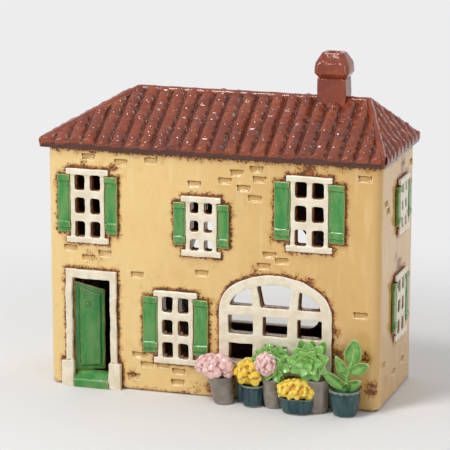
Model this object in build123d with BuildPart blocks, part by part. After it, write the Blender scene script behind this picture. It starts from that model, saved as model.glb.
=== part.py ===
"""Ceramic tealight house: pierced walls, a hipped barrel-tile roof, a chimney flue and a lift-out tealight.

Millimetres, +Z up. The origin is on the table, in the middle of the walls' footprint. The front faces -Y.
"""

import os
from math import atan2, cos, hypot, pi, radians, sin, tan

from build123d import *

os.makedirs("parts", exist_ok=True)

# Walls and floor
wall_length = 180.0
wall_depth = 70.0
wall_height = 128.5
wall_thickness = 5.5
floor_thickness = 4.5
corner_round = 4.5
foot_round = 2.0
cut_overrun = 2.0

# Roof: a hip roof whose ridge ends at different distances from the two end walls
eave_overhang_front = 2.0
eave_overhang_left = 3.5
eave_overhang_right = 2.0
eave_band = 2.0
ridge_height = 154.7
ridge_inset_left = 39.0
ridge_inset_right = 16.0
roof_plumb_thickness = 7.0

# Barrel tiles pressed into the roof slabs
tile_pitch = 7.7
tile_course = 4.9
tile_crown = 2.0
tile_lap = 0.6
tile_groove = 0.3
tile_lip = 0.4
barrel_shares = ((0.0, 0.0), (0.25, 1.0), (0.75, 1.0))

# Clay strips over the ridge and the hips
strip_radius = 2.2
strip_lift = 0.4
strip_sides = 12

# Chimney
chimney_from_right_end = 34.9
chimney_behind_ridge = 1.0
stack_width = 15.0
stack_depth = 12.0
stack_seat = 2.0
cap_lip = 1.6
cap_bevel = 2.5
cap_taper = 10.7
cap_shoulder_rise = 5.3
cap_shoulder_width = 16.0
cap_shoulder_depth = 13.2
cap_top_width = 11.6
cap_top_depth = 8.9
cap_corner = 1.5
chimney_top = 180.0
flue_radius = 3.3

# Square windows
frame_proud = 1.5
bar_height = 3.1
bar_overhang = 2.3
bar_proud = 2.0
jamb_width = 2.3
mullion_width = 2.9
transom_height = 4.0
pane_corner = 0.8
pane_rows = 3
upper_left_across = 22.6
upper_left_drop = 10.5
upper_left_width = 18.6
upper_left_height = 39.5
upper_left_shutter = 6.9
upper_middle_across = 85.0
upper_middle_drop = 21.0
upper_middle_width = 16.7
upper_middle_height = 31.7
upper_middle_shutter = 6.3
upper_right_across = 142.8
upper_right_drop = 6.5
upper_right_width = 19.8
upper_right_height = 39.5
upper_right_shutter = 8.4
lower_front_across = 70.7
lower_front_sill = 16.7
lower_front_width = 19.2
lower_front_height = 39.2
lower_front_shutter = 8.0
end_upper_across = 44.0
end_upper_drop = 13.0
end_upper_width = 15.6
end_upper_height = 29.5
end_upper_shutter = 5.4
end_lower_across = 40.5
end_lower_sill = 30.0
end_lower_width = 17.8
end_lower_height = 35.5
end_lower_shutter = 6.0

# Shutters
shutter_gap = 0.3
shutter_thickness = 1.0
shutter_foot_clearance = 2.2
plank_proud = 0.6
plank_margin = 1.3
batten_height = 3.0
batten_proud = 0.6
lower_batten_share = 0.14

# Arched window
arch_from_right_end = 55.1
arch_foot = 16.0
arch_rail = 5.0
arch_spring = 48.0
arch_half_width = 30.3
arch_rise = 20.7
arch_haunch = 17.0
arch_ring = 5.2
arch_pane_height = 10.2
arch_transom = 5.0
mullion_spread = 9.3
mullion_fan = 3.0
arch_mullion_width = 5.5
arch_mullion_tip = 2.6

# Door
door_from_left_end = 24.0
door_width = 20.9
door_height = 59.2
door_jamb = 3.8
door_lintel = 4.8
door_trim_proud = 2.2
plinth_width = 6.6
plinth_height = 14.0
plinth_proud = 3.4
plinth_reveal = 0.6
step_height = 4.8
step_proud = 4.0
step_nosing = 0.8
threshold_rise = 2.8
leaf_width = 16.0
leaf_thickness = 2.2
leaf_setback = 2.0
leaf_top_gap = 2.6
leaf_top_drop = 5.5
leaf_swing_degrees = 25.0
leaf_panel_margin = 2.6
leaf_panel_proud = 0.6
knob_radius = 1.4
knob_proud = 1.6
knob_bevel = 0.5
knob_sides = 12
knob_height_share = 0.74
knob_across_share = 0.42

# Rear opening, wide enough for a hand with a tealight
rear_offset = 3.0
rear_width = 74.0
rear_sill = 23.0
rear_spring = 52.5
rear_corner = 6.0

# Tealight, the common 38 mm kind
cup_radius = 19.0
cup_height = 15.5
cup_wall = 0.4
wax_depth = 11.8
wick_radius = 0.6
wick_height = 6.0
sustainer_radius = 6.0
sustainer_thickness = 0.4
tealight_from_right_end = 54.0
tealight_from_front = 25.5

# Derived places
left_end = -wall_length / 2
right_end = wall_length / 2
front_y = -wall_depth / 2
back_y = wall_depth / 2
room_half_length = wall_length / 2 - wall_thickness
room_half_depth = wall_depth / 2 - wall_thickness
eave_z = wall_height + eave_band
eave_y = wall_depth / 2 + eave_overhang_front
eave_left = left_end - eave_overhang_left
eave_right = right_end + eave_overhang_right
ridge_left = left_end + ridge_inset_left
ridge_right = right_end - ridge_inset_right
chimney_x = right_end - chimney_from_right_end
chimney_y = chimney_behind_ridge
stack_top = chimney_top - cap_bevel - cap_taper

front_face = Plane.XZ.offset(wall_depth / 2)
back_face = Plane(origin=(0, back_y, 0), x_dir=(-1, 0, 0), z_dir=(0, 1, 0))
right_face = Plane.YZ.offset(wall_length / 2)
left_face = Plane(origin=(left_end, 0, 0), x_dir=(0, -1, 0), z_dir=(-1, 0, 0))


def save(piece, name):
    """Label a finished piece and write its STEP file."""
    piece.part.label = name
    export_step(piece.part, f"parts/{name}.step")


# Windows: face, centre along the face, sill height, frame width, frame height and shutter width.
# Places across run from the left end of the front wall, and from the front edge of an end wall.
upper_left_sill = wall_height - upper_left_drop - upper_left_height
upper_middle_sill = wall_height - upper_middle_drop - upper_middle_height
upper_right_sill = wall_height - upper_right_drop - upper_right_height
end_upper_sill = wall_height - end_upper_drop - end_upper_height
end_upper_centre = front_y + end_upper_across
end_lower_centre = front_y + end_lower_across
end_upper_sizes = (end_upper_sill, end_upper_width, end_upper_height, end_upper_shutter)
end_lower_sizes = (end_lower_sill, end_lower_width, end_lower_height, end_lower_shutter)

windows = {
    "upper_left": (
        front_face,
        left_end + upper_left_across,
        upper_left_sill,
        upper_left_width,
        upper_left_height,
        upper_left_shutter,
    ),
    "upper_middle": (
        front_face,
        left_end + upper_middle_across,
        upper_middle_sill,
        upper_middle_width,
        upper_middle_height,
        upper_middle_shutter,
    ),
    "upper_right": (
        front_face,
        left_end + upper_right_across,
        upper_right_sill,
        upper_right_width,
        upper_right_height,
        upper_right_shutter,
    ),
    "lower_front": (
        front_face,
        left_end + lower_front_across,
        lower_front_sill,
        lower_front_width,
        lower_front_height,
        lower_front_shutter,
    ),
    "right_upper": (right_face, end_upper_centre, *end_upper_sizes),
    "right_lower": (right_face, end_lower_centre, *end_lower_sizes),
    "left_upper": (left_face, -end_upper_centre, *end_upper_sizes),
    "left_lower": (left_face, -end_lower_centre, *end_lower_sizes),
}


def pane_grid(face, centre, sill, width, height, corner):
    """The panes of one window, two across and three up, as a sketch on a wall's face."""
    pane_width = (width - 2 * jamb_width - mullion_width) / 2
    clear_height = height - 2 * bar_height - (pane_rows - 1) * transom_height
    pane_height = clear_height / pane_rows
    with BuildSketch(face) as grid:
        with Locations((centre, sill + height / 2)):
            with GridLocations(pane_width + mullion_width, pane_height + transom_height, 2, pane_rows):
                Rectangle(pane_width, pane_height)
        if corner > 0:
            chamfer(grid.vertices(), length=corner)
    return grid.sketch


wall_panes = {name: pane_grid(*place[:5], 0) for name, place in windows.items()}
frame_panes = {name: pane_grid(*place[:5], pane_corner) for name, place in windows.items()}

# Arched window outline and panes
arch_centre = right_end - arch_from_right_end


def basket_arch(half_width, rise, haunch, foot):
    """The edges of a three-centred arch over straight sides, closed along its foot."""
    crown = (half_width**2 + rise**2 - 2 * half_width * haunch) / (2 * (rise - haunch))
    haunch_x = half_width - haunch
    crown_y = arch_spring + rise - crown
    meet = atan2(arch_spring - crown_y, haunch_x)
    meet_x, meet_y = haunch_x + haunch * cos(meet), arch_spring + haunch * sin(meet)
    mid_x, mid_y = haunch_x + haunch * cos(meet / 2), arch_spring + haunch * sin(meet / 2)
    apex = (arch_centre, arch_spring + rise)
    with BuildLine() as ring:
        Line((arch_centre - half_width, foot), (arch_centre - half_width, arch_spring))
        ThreePointArc(
            (arch_centre - half_width, arch_spring),
            (arch_centre - mid_x, mid_y),
            (arch_centre - meet_x, meet_y),
        )
        ThreePointArc((arch_centre - meet_x, meet_y), apex, (arch_centre + meet_x, meet_y))
        ThreePointArc(
            (arch_centre + meet_x, meet_y),
            (arch_centre + mid_x, mid_y),
            (arch_centre + half_width, arch_spring),
        )
        Line((arch_centre + half_width, arch_spring), (arch_centre + half_width, foot))
        Line((arch_centre + half_width, foot), (arch_centre - half_width, foot))
    return ring.edges()


pane_foot = arch_foot + arch_rail
lower_transom = pane_foot + arch_pane_height
upper_transom = lower_transom + arch_transom + arch_pane_height
fan_foot = upper_transom + arch_transom
arch_apex = arch_spring + arch_rise

with BuildSketch(front_face) as arch_outline:
    make_face(basket_arch(arch_half_width, arch_rise, arch_haunch, arch_foot))

with BuildSketch(front_face) as arch_panes:
    make_face(
        basket_arch(arch_half_width - arch_ring, arch_rise - arch_ring, arch_haunch - arch_ring, pane_foot)
    )
    with Locations(*((arch_centre, level + arch_transom / 2) for level in (lower_transom, upper_transom))):
        Rectangle(2 * arch_half_width, arch_transom, mode=Mode.SUBTRACT)
    for side in (-1, 1):
        foot_x = arch_centre + side * mullion_spread
        tip_x = foot_x + side * mullion_fan
        Polygon(
            (foot_x - arch_mullion_width / 2, arch_foot),
            (foot_x + arch_mullion_width / 2, arch_foot),
            (foot_x + arch_mullion_width / 2, upper_transom),
            (tip_x + arch_mullion_tip / 2, arch_apex),
            (tip_x - arch_mullion_tip / 2, arch_apex),
            (foot_x - arch_mullion_width / 2, upper_transom),
            align=None,
            mode=Mode.SUBTRACT,
        )

# Door outline
door_x = left_end + door_from_left_end
door_left = door_x - door_width / 2
door_right = door_x + door_width / 2

with BuildSketch(front_face) as door_hole:
    with Locations((door_x, floor_thickness)):
        Rectangle(door_width, door_height - floor_thickness, align=(Align.CENTER, Align.MIN))

# Floor slab
with BuildPart() as base_slab:
    with BuildSketch():
        Rectangle(2 * room_half_length, 2 * room_half_depth)
    extrude(amount=floor_thickness)
save(base_slab, "base_slab")

# Front wall, pierced for the windows and the door
with BuildPart() as front_wall:
    with BuildSketch():
        with Locations((0, front_y)):
            Rectangle(wall_length, wall_thickness, align=(Align.CENTER, Align.MIN))
    extrude(amount=wall_height)
    fillet(front_wall.edges().filter_by(Axis.Z).group_by(Axis.Y)[0], radius=corner_round)
    fillet(front_wall.faces().sort_by(Axis.Z)[0].edges().sort_by(Axis.Y)[:-1], radius=foot_round)
    for name in ("upper_left", "upper_middle", "upper_right", "lower_front"):
        extrude(wall_panes[name], amount=-wall_thickness - cut_overrun, mode=Mode.SUBTRACT)
    extrude(arch_panes.sketch, amount=-wall_thickness - cut_overrun, mode=Mode.SUBTRACT)
    extrude(door_hole.sketch, amount=-wall_thickness - cut_overrun, mode=Mode.SUBTRACT)
save(front_wall, "front_wall")

# Back wall, with the round-headed opening for the tealight
with BuildPart() as back_wall:
    with BuildSketch():
        with Locations((0, back_y)):
            Rectangle(wall_length, wall_thickness, align=(Align.CENTER, Align.MAX))
    extrude(amount=wall_height)
    fillet(back_wall.edges().filter_by(Axis.Z).group_by(Axis.Y)[-1], radius=corner_round)
    fillet(back_wall.faces().sort_by(Axis.Z)[0].edges().sort_by(Axis.Y)[1:], radius=foot_round)
    with BuildSketch(back_face) as rear_opening:
        with Locations((-rear_offset, rear_spring)):
            Circle(rear_width / 2)
        with Locations((-rear_offset, 0)):
            Rectangle(2 * rear_width, rear_spring, align=(Align.CENTER, Align.MIN), mode=Mode.SUBTRACT)
        with Locations((-rear_offset, rear_sill)):
            Rectangle(rear_width, rear_spring - rear_sill, align=(Align.CENTER, Align.MIN))
        fillet(rear_opening.vertices().group_by(Axis.Y)[0], radius=rear_corner)
    extrude(amount=-wall_thickness - cut_overrun, mode=Mode.SUBTRACT)
save(back_wall, "back_wall")

# End walls, between the front and the back wall
for side, wall_name in ((-1, "left_wall"), (1, "right_wall")):
    outer_x = side * wall_length / 2
    with BuildPart() as end_wall:
        with BuildSketch():
            with Locations((outer_x - side * wall_thickness / 2, 0)):
                Rectangle(wall_thickness, 2 * room_half_depth)
        extrude(amount=wall_height)
        foot_edges = end_wall.edges().group_by(Axis.Z)[0].sort_by(Axis.X)
        fillet(foot_edges[-1] if side > 0 else foot_edges[0], radius=foot_round)
        for level in ("upper", "lower"):
            extrude(
                wall_panes[wall_name.replace("wall", level)],
                amount=-wall_thickness - cut_overrun,
                mode=Mode.SUBTRACT,
            )
    save(end_wall, wall_name)


def below_roof(drop):
    """All that lies under the four roof planes, when these are lowered plumb by a drop."""
    low, high = eave_z - drop, ridge_height - drop
    with BuildPart() as space:
        with BuildSketch(Plane.XZ):
            Polygon(
                (eave_left, 0),
                (eave_right, 0),
                (eave_right, low),
                (ridge_right, high),
                (ridge_left, high),
                (eave_left, low),
                align=None,
            )
        extrude(amount=eave_y, both=True)
        with BuildSketch(Plane.YZ):
            Polygon((-eave_y, 0), (eave_y, 0), (eave_y, low), (0, high), (-eave_y, low), align=None)
        extrude(amount=wall_length, both=True, mode=Mode.INTERSECT)
    return space.part


# Space under the roof, inside the rim that sits on the walls
with BuildPart() as roof_space:
    add(below_roof(roof_plumb_thickness))
    with BuildSketch():
        Rectangle(2 * room_half_length, 2 * room_half_depth)
    extrude(amount=ridge_height, mode=Mode.INTERSECT)

# Chimney stack: it stands in a seat cut across the ridge
with BuildPart() as stack_block:
    with BuildSketch(Plane.XY.offset(wall_height)):
        with Locations((chimney_x, chimney_y)):
            Rectangle(stack_width, stack_depth)
    extrude(amount=stack_top - wall_height)
    add(below_roof(stack_seat), mode=Mode.SUBTRACT)

with BuildPart() as flue:
    with BuildSketch(Plane.XY.offset(wall_height)):
        with Locations((chimney_x, chimney_y)):
            Circle(flue_radius)
    extrude(amount=chimney_top - wall_height + cut_overrun)

with BuildPart() as chimney_stack:
    add(stack_block.part)
    add(flue.part, mode=Mode.SUBTRACT)
save(chimney_stack, "chimney_stack")

with BuildPart() as chimney_cap:
    cap_sections = (
        (stack_top, stack_width, stack_depth),
        (stack_top + cap_bevel, stack_width + 2 * cap_lip, stack_depth + 2 * cap_lip),
        (stack_top + cap_bevel + cap_shoulder_rise, cap_shoulder_width, cap_shoulder_depth),
        (chimney_top, cap_top_width, cap_top_depth),
    )
    for section_z, section_width, section_depth in cap_sections:
        with BuildSketch(Plane.XY.offset(section_z)):
            with Locations((chimney_x, chimney_y)):
                chamfer(Rectangle(section_width, section_depth).vertices(), length=cap_corner)
    loft(ruled=True)
    add(flue.part, mode=Mode.SUBTRACT)
save(chimney_cap, "chimney_cap")

# Rolled strips: one along the ridge and one down each hip
strip_z = ridge_height + strip_lift
ridge_ends = (Vector(ridge_left, 0, strip_z), Vector(ridge_right, 0, strip_z))

with BuildPart() as eaves_space:
    with BuildSketch(Plane.XY.offset(wall_height)):
        Polygon(
            (eave_left, -eave_y),
            (eave_right, -eave_y),
            (eave_right, eave_y),
            (eave_left, eave_y),
            align=None,
        )
    extrude(amount=chimney_top - wall_height)


def strip(start, run, bed=False):
    """A rolled strip along a run, or its bed: the same roll, open upwards so that no tile stands over it."""
    level = Plane(origin=start, x_dir=run.cross(Vector(0, 0, 1)), z_dir=run)
    upwards = 1 if level.y_dir.Z > 0 else -1
    with BuildPart() as roll:
        with BuildSketch(level):
            RegularPolygon(strip_radius, strip_sides, major_radius=False)
            if bed:
                with Locations((0, upwards * strip_radius)):
                    Rectangle(2 * strip_radius, 2 * strip_radius)
        extrude(amount=run.length)
    return roll.part


with BuildPart() as ridge_cap:
    add(strip(ridge_ends[0], ridge_ends[1] - ridge_ends[0]))
    add(stack_block.part, mode=Mode.SUBTRACT)
save(ridge_cap, "ridge_cap")

bed_overrun = Vector(2 * strip_radius, 0, 0)
ridge_run = ridge_ends[1] - ridge_ends[0]
beds = {"ridge": strip(ridge_ends[0] - bed_overrun, ridge_run + 2 * bed_overrun, bed=True)}
hip_ends = ((ridge_ends[0], eave_left, "left"), (ridge_ends[1], eave_right, "right"))
for y_side, y_name in ((-1, "front"), (1, "back")):
    for ridge_end, corner_x, x_name in hip_ends:
        corner = Vector(corner_x, y_side * eave_y, eave_z + strip_lift)
        slope_run = ridge_end - corner
        direction = slope_run.normalized()
        foot = corner - direction * strip_radius
        mitre = strip_radius * tan(atan2(direction.Z, hypot(direction.X, direction.Y)) / 2)
        head = ridge_end + direction * mitre
        with BuildPart() as hip:
            add(strip(foot, head - foot))
            add(ridge_cap.part, mode=Mode.SUBTRACT)
            add(eaves_space.part, mode=Mode.INTERSECT)
            with BuildSketch():
                with Locations((0, y_side * eave_y)):
                    Rectangle(2 * wall_length, 2 * eave_y)
            extrude(amount=chimney_top, mode=Mode.INTERSECT)
        beds[f"{y_name}_{x_name}"] = strip(foot, head - foot, bed=True)
        save(hip, f"{y_name}_{x_name}_hip_cap")


def tiled_slope(eave_start, eave_end, top_corners, cuts):
    """One roof slab with its barrel tiles, mitred plumb along the hips and cut plumb at the eave."""
    eave = Vector(*eave_end, eave_z) - Vector(*eave_start, eave_z)
    middle = Vector(*eave_start, eave_z) + eave * 0.5
    along = eave.normalized()
    outward = Vector(along.Y, -along.X, 0)
    reach = (middle - Vector(*top_corners[0], eave_z)).dot(outward)
    rise = ridge_height - eave_z
    slope_length = hypot(reach, rise)
    up = (outward * -reach + Vector(0, 0, rise)) * (1 / slope_length)

    columns = round(eave.length / tile_pitch)
    courses = round(slope_length / tile_course)
    pitch = eave.length / columns
    course = slope_length / courses

    def section(distance, lap):
        """The scalloped outline across the slab at a distance up the slope."""
        points = [(-eave.length / 2, -roof_plumb_thickness)]
        for column in range(columns):
            for across, height in barrel_shares:
                x = (column + across) * pitch - eave.length / 2
                points.append((x, tile_groove + (tile_crown + lap) * height))
        points.append((eave.length / 2, tile_groove))
        points.append((eave.length / 2, -roof_plumb_thickness))
        return Plane(origin=middle + up * distance, x_dir=along, z_dir=-up), points

    with BuildPart() as mould:
        with BuildSketch(Plane.XY.offset(wall_height)):
            Polygon(eave_start, eave_end, *top_corners, align=None)
        extrude(amount=chimney_top - wall_height)
        for cut in cuts:
            add(cut, mode=Mode.SUBTRACT)

    with BuildPart() as slab:
        for step in range(courses + 2):
            start = (step - 0.5) * course
            for distance, lap in ((start + tile_lip, tile_lap), (start + course, 0)):
                plane, points = section(distance, lap)
                with BuildSketch(plane):
                    Polygon(*points, align=None)
        loft(ruled=True, clean=False)
        add(mould.part, mode=Mode.INTERSECT, clean=False)

    # Specks of tile between two beds are no part of the slab
    with BuildPart() as slope:
        add(slab.solids().sort_by(SortBy.VOLUME)[-1], clean=False)
    return slope


front_left, front_right = (eave_left, -eave_y), (eave_right, -eave_y)
back_left, back_right = (eave_left, eave_y), (eave_right, eave_y)
top_left, top_right = (ridge_left, 0), (ridge_right, 0)
chimney_cuts = [stack_block.part, flue.part]
slopes = {
    "front": (front_left, front_right, (top_right, top_left), ("front_left", "front_right")),
    "right": (front_right, back_right, (top_right,), ("front_right", "back_right")),
    "back": (back_right, back_left, (top_left, top_right), ("back_left", "back_right")),
    "left": (back_left, front_left, (top_left,), ("front_left", "back_left")),
}
for name, (eave_start, eave_end, top_corners, hip_names) in slopes.items():
    slope_cuts = [roof_space.part, ridge_cap.part, beds["ridge"], *(beds[hip_name] for hip_name in hip_names)]
    if len(top_corners) > 1:
        slope_cuts += chimney_cuts
    roof_slab = tiled_slope(eave_start, eave_end, top_corners, slope_cuts)
    save(roof_slab, f"{name}_roof_slab")

# Square window frames: jambs and glazing bars, with a prouder lintel and sill
for name, (face, centre, sill, width, height, shutter_width) in windows.items():
    with BuildPart() as frame:
        with BuildSketch(face):
            with Locations((centre, sill + height / 2)):
                Rectangle(width, height)
        extrude(amount=frame_proud)
        with BuildSketch(face):
            with Locations((centre, sill + bar_height / 2), (centre, sill + height - bar_height / 2)):
                Rectangle(width + 2 * bar_overhang, bar_height)
        extrude(amount=bar_proud)
        extrude(frame_panes[name], amount=frame_proud + cut_overrun, mode=Mode.SUBTRACT)
    save(frame, f"{name}_window_frame")

# Shutters: a backing board, a raised plank and two battens
shutter_pairs = {}
for name, (face, centre, sill, width, height, shutter_width) in windows.items():
    shutter_foot = sill + bar_height + shutter_foot_clearance
    shutter_head = sill + height - bar_height - shutter_gap
    shutter_height = shutter_head - shutter_foot
    with BuildPart() as shutters:
        for side in (-1, 1):
            middle_x = centre + side * (width / 2 + shutter_gap + shutter_width / 2)
            with BuildSketch(face):
                with Locations((middle_x, shutter_foot)):
                    Rectangle(shutter_width, shutter_height, align=(Align.CENTER, Align.MIN))
            extrude(amount=shutter_thickness)
            with BuildSketch(face):
                with Locations((middle_x + side * plank_margin / 2, shutter_foot)):
                    Rectangle(shutter_width - plank_margin, shutter_height, align=(Align.CENTER, Align.MIN))
            extrude(amount=shutter_thickness + plank_proud)
            with BuildSketch(face):
                with Locations(
                    (middle_x, shutter_foot + shutter_height * lower_batten_share),
                    (middle_x, shutter_head - batten_height / 2),
                ):
                    Rectangle(shutter_width, batten_height)
            extrude(amount=shutter_thickness + plank_proud + batten_proud)
    shutter_pairs[name] = shutters.part
    save(shutters, f"{name}_shutters")

# Arched window frame
with BuildPart() as arch_block:
    extrude(arch_outline.sketch, amount=frame_proud)

with BuildPart() as arched_window_frame:
    add(arch_block.part)
    extrude(arch_panes.sketch, amount=frame_proud + cut_overrun, mode=Mode.SUBTRACT)
save(arched_window_frame, "arched_window_frame")

# Door surround with its plinth blocks
with BuildPart() as door_surround:
    with BuildSketch(front_face):
        with Locations((door_x, 0)):
            Rectangle(door_width + 2 * door_jamb, door_height + door_lintel, align=(Align.CENTER, Align.MIN))
            Rectangle(door_width, door_height, align=(Align.CENTER, Align.MIN), mode=Mode.SUBTRACT)
    extrude(amount=door_trim_proud)
    with BuildSketch(front_face):
        for side in (-1, 1):
            plinth_x = door_x + side * (door_width / 2 - plinth_reveal + plinth_width / 2)
            with Locations((plinth_x, 0)):
                Rectangle(plinth_width, plinth_height, align=(Align.CENTER, Align.MIN))
    extrude(amount=plinth_proud)
save(door_surround, "door_surround")

# Door step: a tread on the ground and a threshold that rises into the opening
step_width = door_width - 2 * plinth_reveal
threshold_top = step_height + threshold_rise
with BuildPart() as door_step:
    with BuildSketch(Plane.YZ.offset(door_x)):
        Polygon(
            (front_y - step_proud, 0),
            (front_y, 0),
            (front_y, floor_thickness),
            (front_y + wall_thickness, floor_thickness),
            (front_y + wall_thickness, threshold_top),
            (front_y + leaf_setback, threshold_top),
            (front_y - step_proud + step_nosing, step_height),
            (front_y - step_proud, step_height - step_nosing),
            align=None,
        )
    extrude(amount=step_width / 2, both=True)
save(door_step, "door_step")

# Door leaf: hung on the left reveal and left ajar, with its hinge edge bevelled to the reveal
swing = radians(leaf_swing_degrees)
leaf_plane = Plane(
    origin=(door_left, front_y + leaf_setback, threshold_top),
    x_dir=(cos(swing), sin(swing), 0),
    z_dir=(sin(swing), -cos(swing), 0),
)
leaf_height = door_height - leaf_top_gap - threshold_top
panel_fall = leaf_top_drop * leaf_panel_margin / leaf_width
with BuildPart() as door_leaf:
    with BuildSketch(leaf_plane):
        Polygon(
            (0, 0),
            (leaf_width, 0),
            (leaf_width, leaf_height - leaf_top_drop),
            (0, leaf_height),
            align=None,
        )
    extrude(amount=-leaf_thickness)
    with BuildSketch(leaf_plane):
        Polygon(
            (leaf_panel_margin, leaf_panel_margin),
            (leaf_width - leaf_panel_margin, leaf_panel_margin),
            (leaf_width - leaf_panel_margin, leaf_height - leaf_top_drop - leaf_panel_margin),
            (leaf_panel_margin, leaf_height - leaf_panel_margin - panel_fall),
            align=None,
        )
    extrude(amount=leaf_panel_proud)
    with BuildSketch():
        with Locations((door_left, front_y)):
            Rectangle(door_width, wall_depth, align=(Align.MIN, Align.MIN))
    extrude(amount=wall_height, mode=Mode.INTERSECT)
save(door_leaf, "door_leaf")

knob_face_radius = knob_radius - knob_bevel
knob_sections = ((0, knob_face_radius), (knob_bevel, knob_radius), (knob_proud, knob_face_radius))
with BuildPart() as door_knob:
    for distance, radius in knob_sections:
        with BuildSketch(leaf_plane.offset(leaf_panel_proud + distance)):
            with Locations((leaf_width * knob_across_share, leaf_height * knob_height_share)):
                RegularPolygon(radius, knob_sides)
    loft(ruled=True)
save(door_knob, "door_knob")

# Flower pots pressed against the wall: the axis's place from the right end as a share of the row's length,
# its place before the wall, the top and the foot radius as shares of the common radius, and the height's
# share of the common height
pot_row = 82.0
pot_radius = 6.9
pot_height = 13.6
pot_shares = {
    "first": (1.0, 0.93, 1.0, 0.75, 1.0),
    "second": (0.795, 0.9, 0.93, 0.75, 0.76),
    "third": (0.665, 0.78, 0.84, 0.68, 1.03),
    "fifth": (0.383, 0.93, 0.98, 0.87, 1.12),
    "sixth": (0.19, 1.1, 1.16, 0.88, 0.92),
}
rimmed_pots = ("second", "sixth")
rim_proud = 0.6
rim_height = 1.8

bowl_from_end = 39.8
bowl_before = 12.6
bowl_radius = 9.0
bowl_height = 7.4
bowl_foot_share = 0.8
bowl_flatness_share = 0.6
standing = [arch_block.part, shutter_pairs["lower_front"]]

with BuildPart() as pot_side:
    with BuildSketch():
        with Locations((0, front_y)):
            Rectangle(2 * wall_length, wall_depth, align=(Align.CENTER, Align.MAX))
    extrude(amount=wall_height)


def stand(piece, name):
    """Save a pot or a plant and keep it, so that the next ones only touch it."""
    save(piece, name)
    standing.append(piece.part)


pots = {}
for name, (row_share, before_share, top_share, foot_share, height_share) in pot_shares.items():
    axis_point = (right_end - pot_row * row_share, front_y - pot_radius * before_share)
    top_radius = pot_radius * top_share
    height = pot_height * height_share
    pots[name] = (*axis_point, top_radius, height)
    with BuildPart() as pot:
        with BuildSketch(Plane(origin=(*axis_point, 0))):
            Circle(pot_radius * foot_share)
        with BuildSketch(Plane(origin=(*axis_point, height))):
            Circle(top_radius)
        loft()
        if name in rimmed_pots:
            with BuildSketch(Plane(origin=(*axis_point, height - rim_height))):
                Circle(top_radius + rim_proud)
            extrude(amount=rim_height)
        add(pot_side.part, mode=Mode.INTERSECT)
        for neighbour in standing:
            add(neighbour, mode=Mode.SUBTRACT)
    stand(pot, f"{name}_pot")

bowl_point = (right_end - bowl_from_end, front_y - bowl_before)
pots["fourth"] = (*bowl_point, bowl_radius, bowl_height)
with BuildPart() as bowl:
    for level, radius in ((0, bowl_radius * bowl_foot_share), (bowl_height, bowl_radius)):
        with BuildSketch(Plane(origin=(*bowl_point, level))):
            Ellipse(radius, radius * bowl_flatness_share)
    loft()
    for neighbour in standing:
        add(neighbour, mode=Mode.SUBTRACT)
stand(bowl, "fourth_pot")

# Ruffled heads of blossom or leaves: pot, place across and place before the pot's axis, half width and half
# depth as shares of its radius, foot above its rim and height as shares of its height
head_shares = {
    "first_pot_blossom": ("first", -0.5, -0.12, 1.65, 1.19, 0.0, 0.92),
    "second_pot_blossom": ("second", -0.33, 0.0, 1.09, 1.09, 0.0, 1.46),
    "third_pot_leaves": ("third", -0.16, -0.24, 1.7, 1.1, 0.0, 1.43),
    "third_pot_blossom": ("third", -0.4, 0.79, 1.07, 0.79, 0.21, 1.0),
    "fourth_pot_blossom": ("fourth", -0.11, -0.07, 1.16, 0.71, 0.0, 1.46),
}
ruffle_level_shares = ((0.0, 0.66), (0.3, 1.0), (0.72, 0.84), (1.0, 0.4))
ruffle_count = 8
ruffle_share = 0.16

for name, (pot_name, *shares) in head_shares.items():
    across_share, before_share, width_share, depth_share, foot_share, rise_share = shares
    pot_x, pot_y, radius, height = pots[pot_name]
    with BuildPart() as head:
        for level_share, size_share in ruffle_level_shares:
            ring = []
            for point in range(2 * ruffle_count):
                reach = radius * size_share * (1 - ruffle_share * (point % 2))
                angle = pi * point / ruffle_count
                ring.append((width_share * reach * cos(angle), depth_share * reach * sin(angle)))
            level = height * (1 + foot_share + level_share * rise_share)
            centre = (pot_x + radius * across_share, pot_y - radius * before_share, level)
            with BuildSketch(Plane(origin=centre)):
                Polygon(*ring, align=None)
        loft(ruled=True)
        add(pot_side.part, mode=Mode.INTERSECT)
        for neighbour in standing:
            add(neighbour, mode=Mode.SUBTRACT)
    stand(head, name)


def leaf(base, tip, width):
    """A pointed leaf between two points of the sketch that is open, with two equal arcs for its edges."""
    with BuildLine() as edge:
        SagittaArc(base, tip, width / 2)
        SagittaArc(tip, base, width / 2)
    make_face(edge.edges())


# Leafy rosette in the fifth pot: leaves all round a heart, on a stalk that stands on the pot
rosette_lean = 3.2
rosette_rise = 12.0
rosette_before = 7.4
rosette_leaf = 10.6
rosette_leaf_width = 5.4
rosette_leaf_thickness = 3.0
rosette_leaves = 8
rosette_heart = 4.6
stalk_half_width = 3.2
fifth_pot_x, *_, fifth_pot_height = pots["fifth"]
rosette_x = fifth_pot_x - rosette_lean
rosette_height = fifth_pot_height + rosette_rise

with BuildPart() as fifth_pot_leaves:
    with BuildSketch(front_face.offset(rosette_before)):
        for step in range(rosette_leaves):
            angle = 2 * pi * step / rosette_leaves + pi / rosette_leaves
            leaf(
                (rosette_x, rosette_height),
                (rosette_x + rosette_leaf * cos(angle), rosette_height + rosette_leaf * sin(angle)),
                rosette_leaf_width,
            )
    extrude(amount=rosette_leaf_thickness)
    with BuildSketch(front_face):
        with Locations((rosette_x, rosette_height)):
            Circle(rosette_heart)
        Polygon(
            (rosette_x - stalk_half_width, fifth_pot_height),
            (rosette_x + stalk_half_width, fifth_pot_height),
            (rosette_x + stalk_half_width, rosette_height),
            (rosette_x - stalk_half_width, rosette_height),
            align=None,
        )
    extrude(amount=rosette_before + rosette_leaf_thickness)
    for neighbour in standing:
        add(neighbour, mode=Mode.SUBTRACT)
stand(fifth_pot_leaves, "fifth_pot_leaves")

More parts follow.
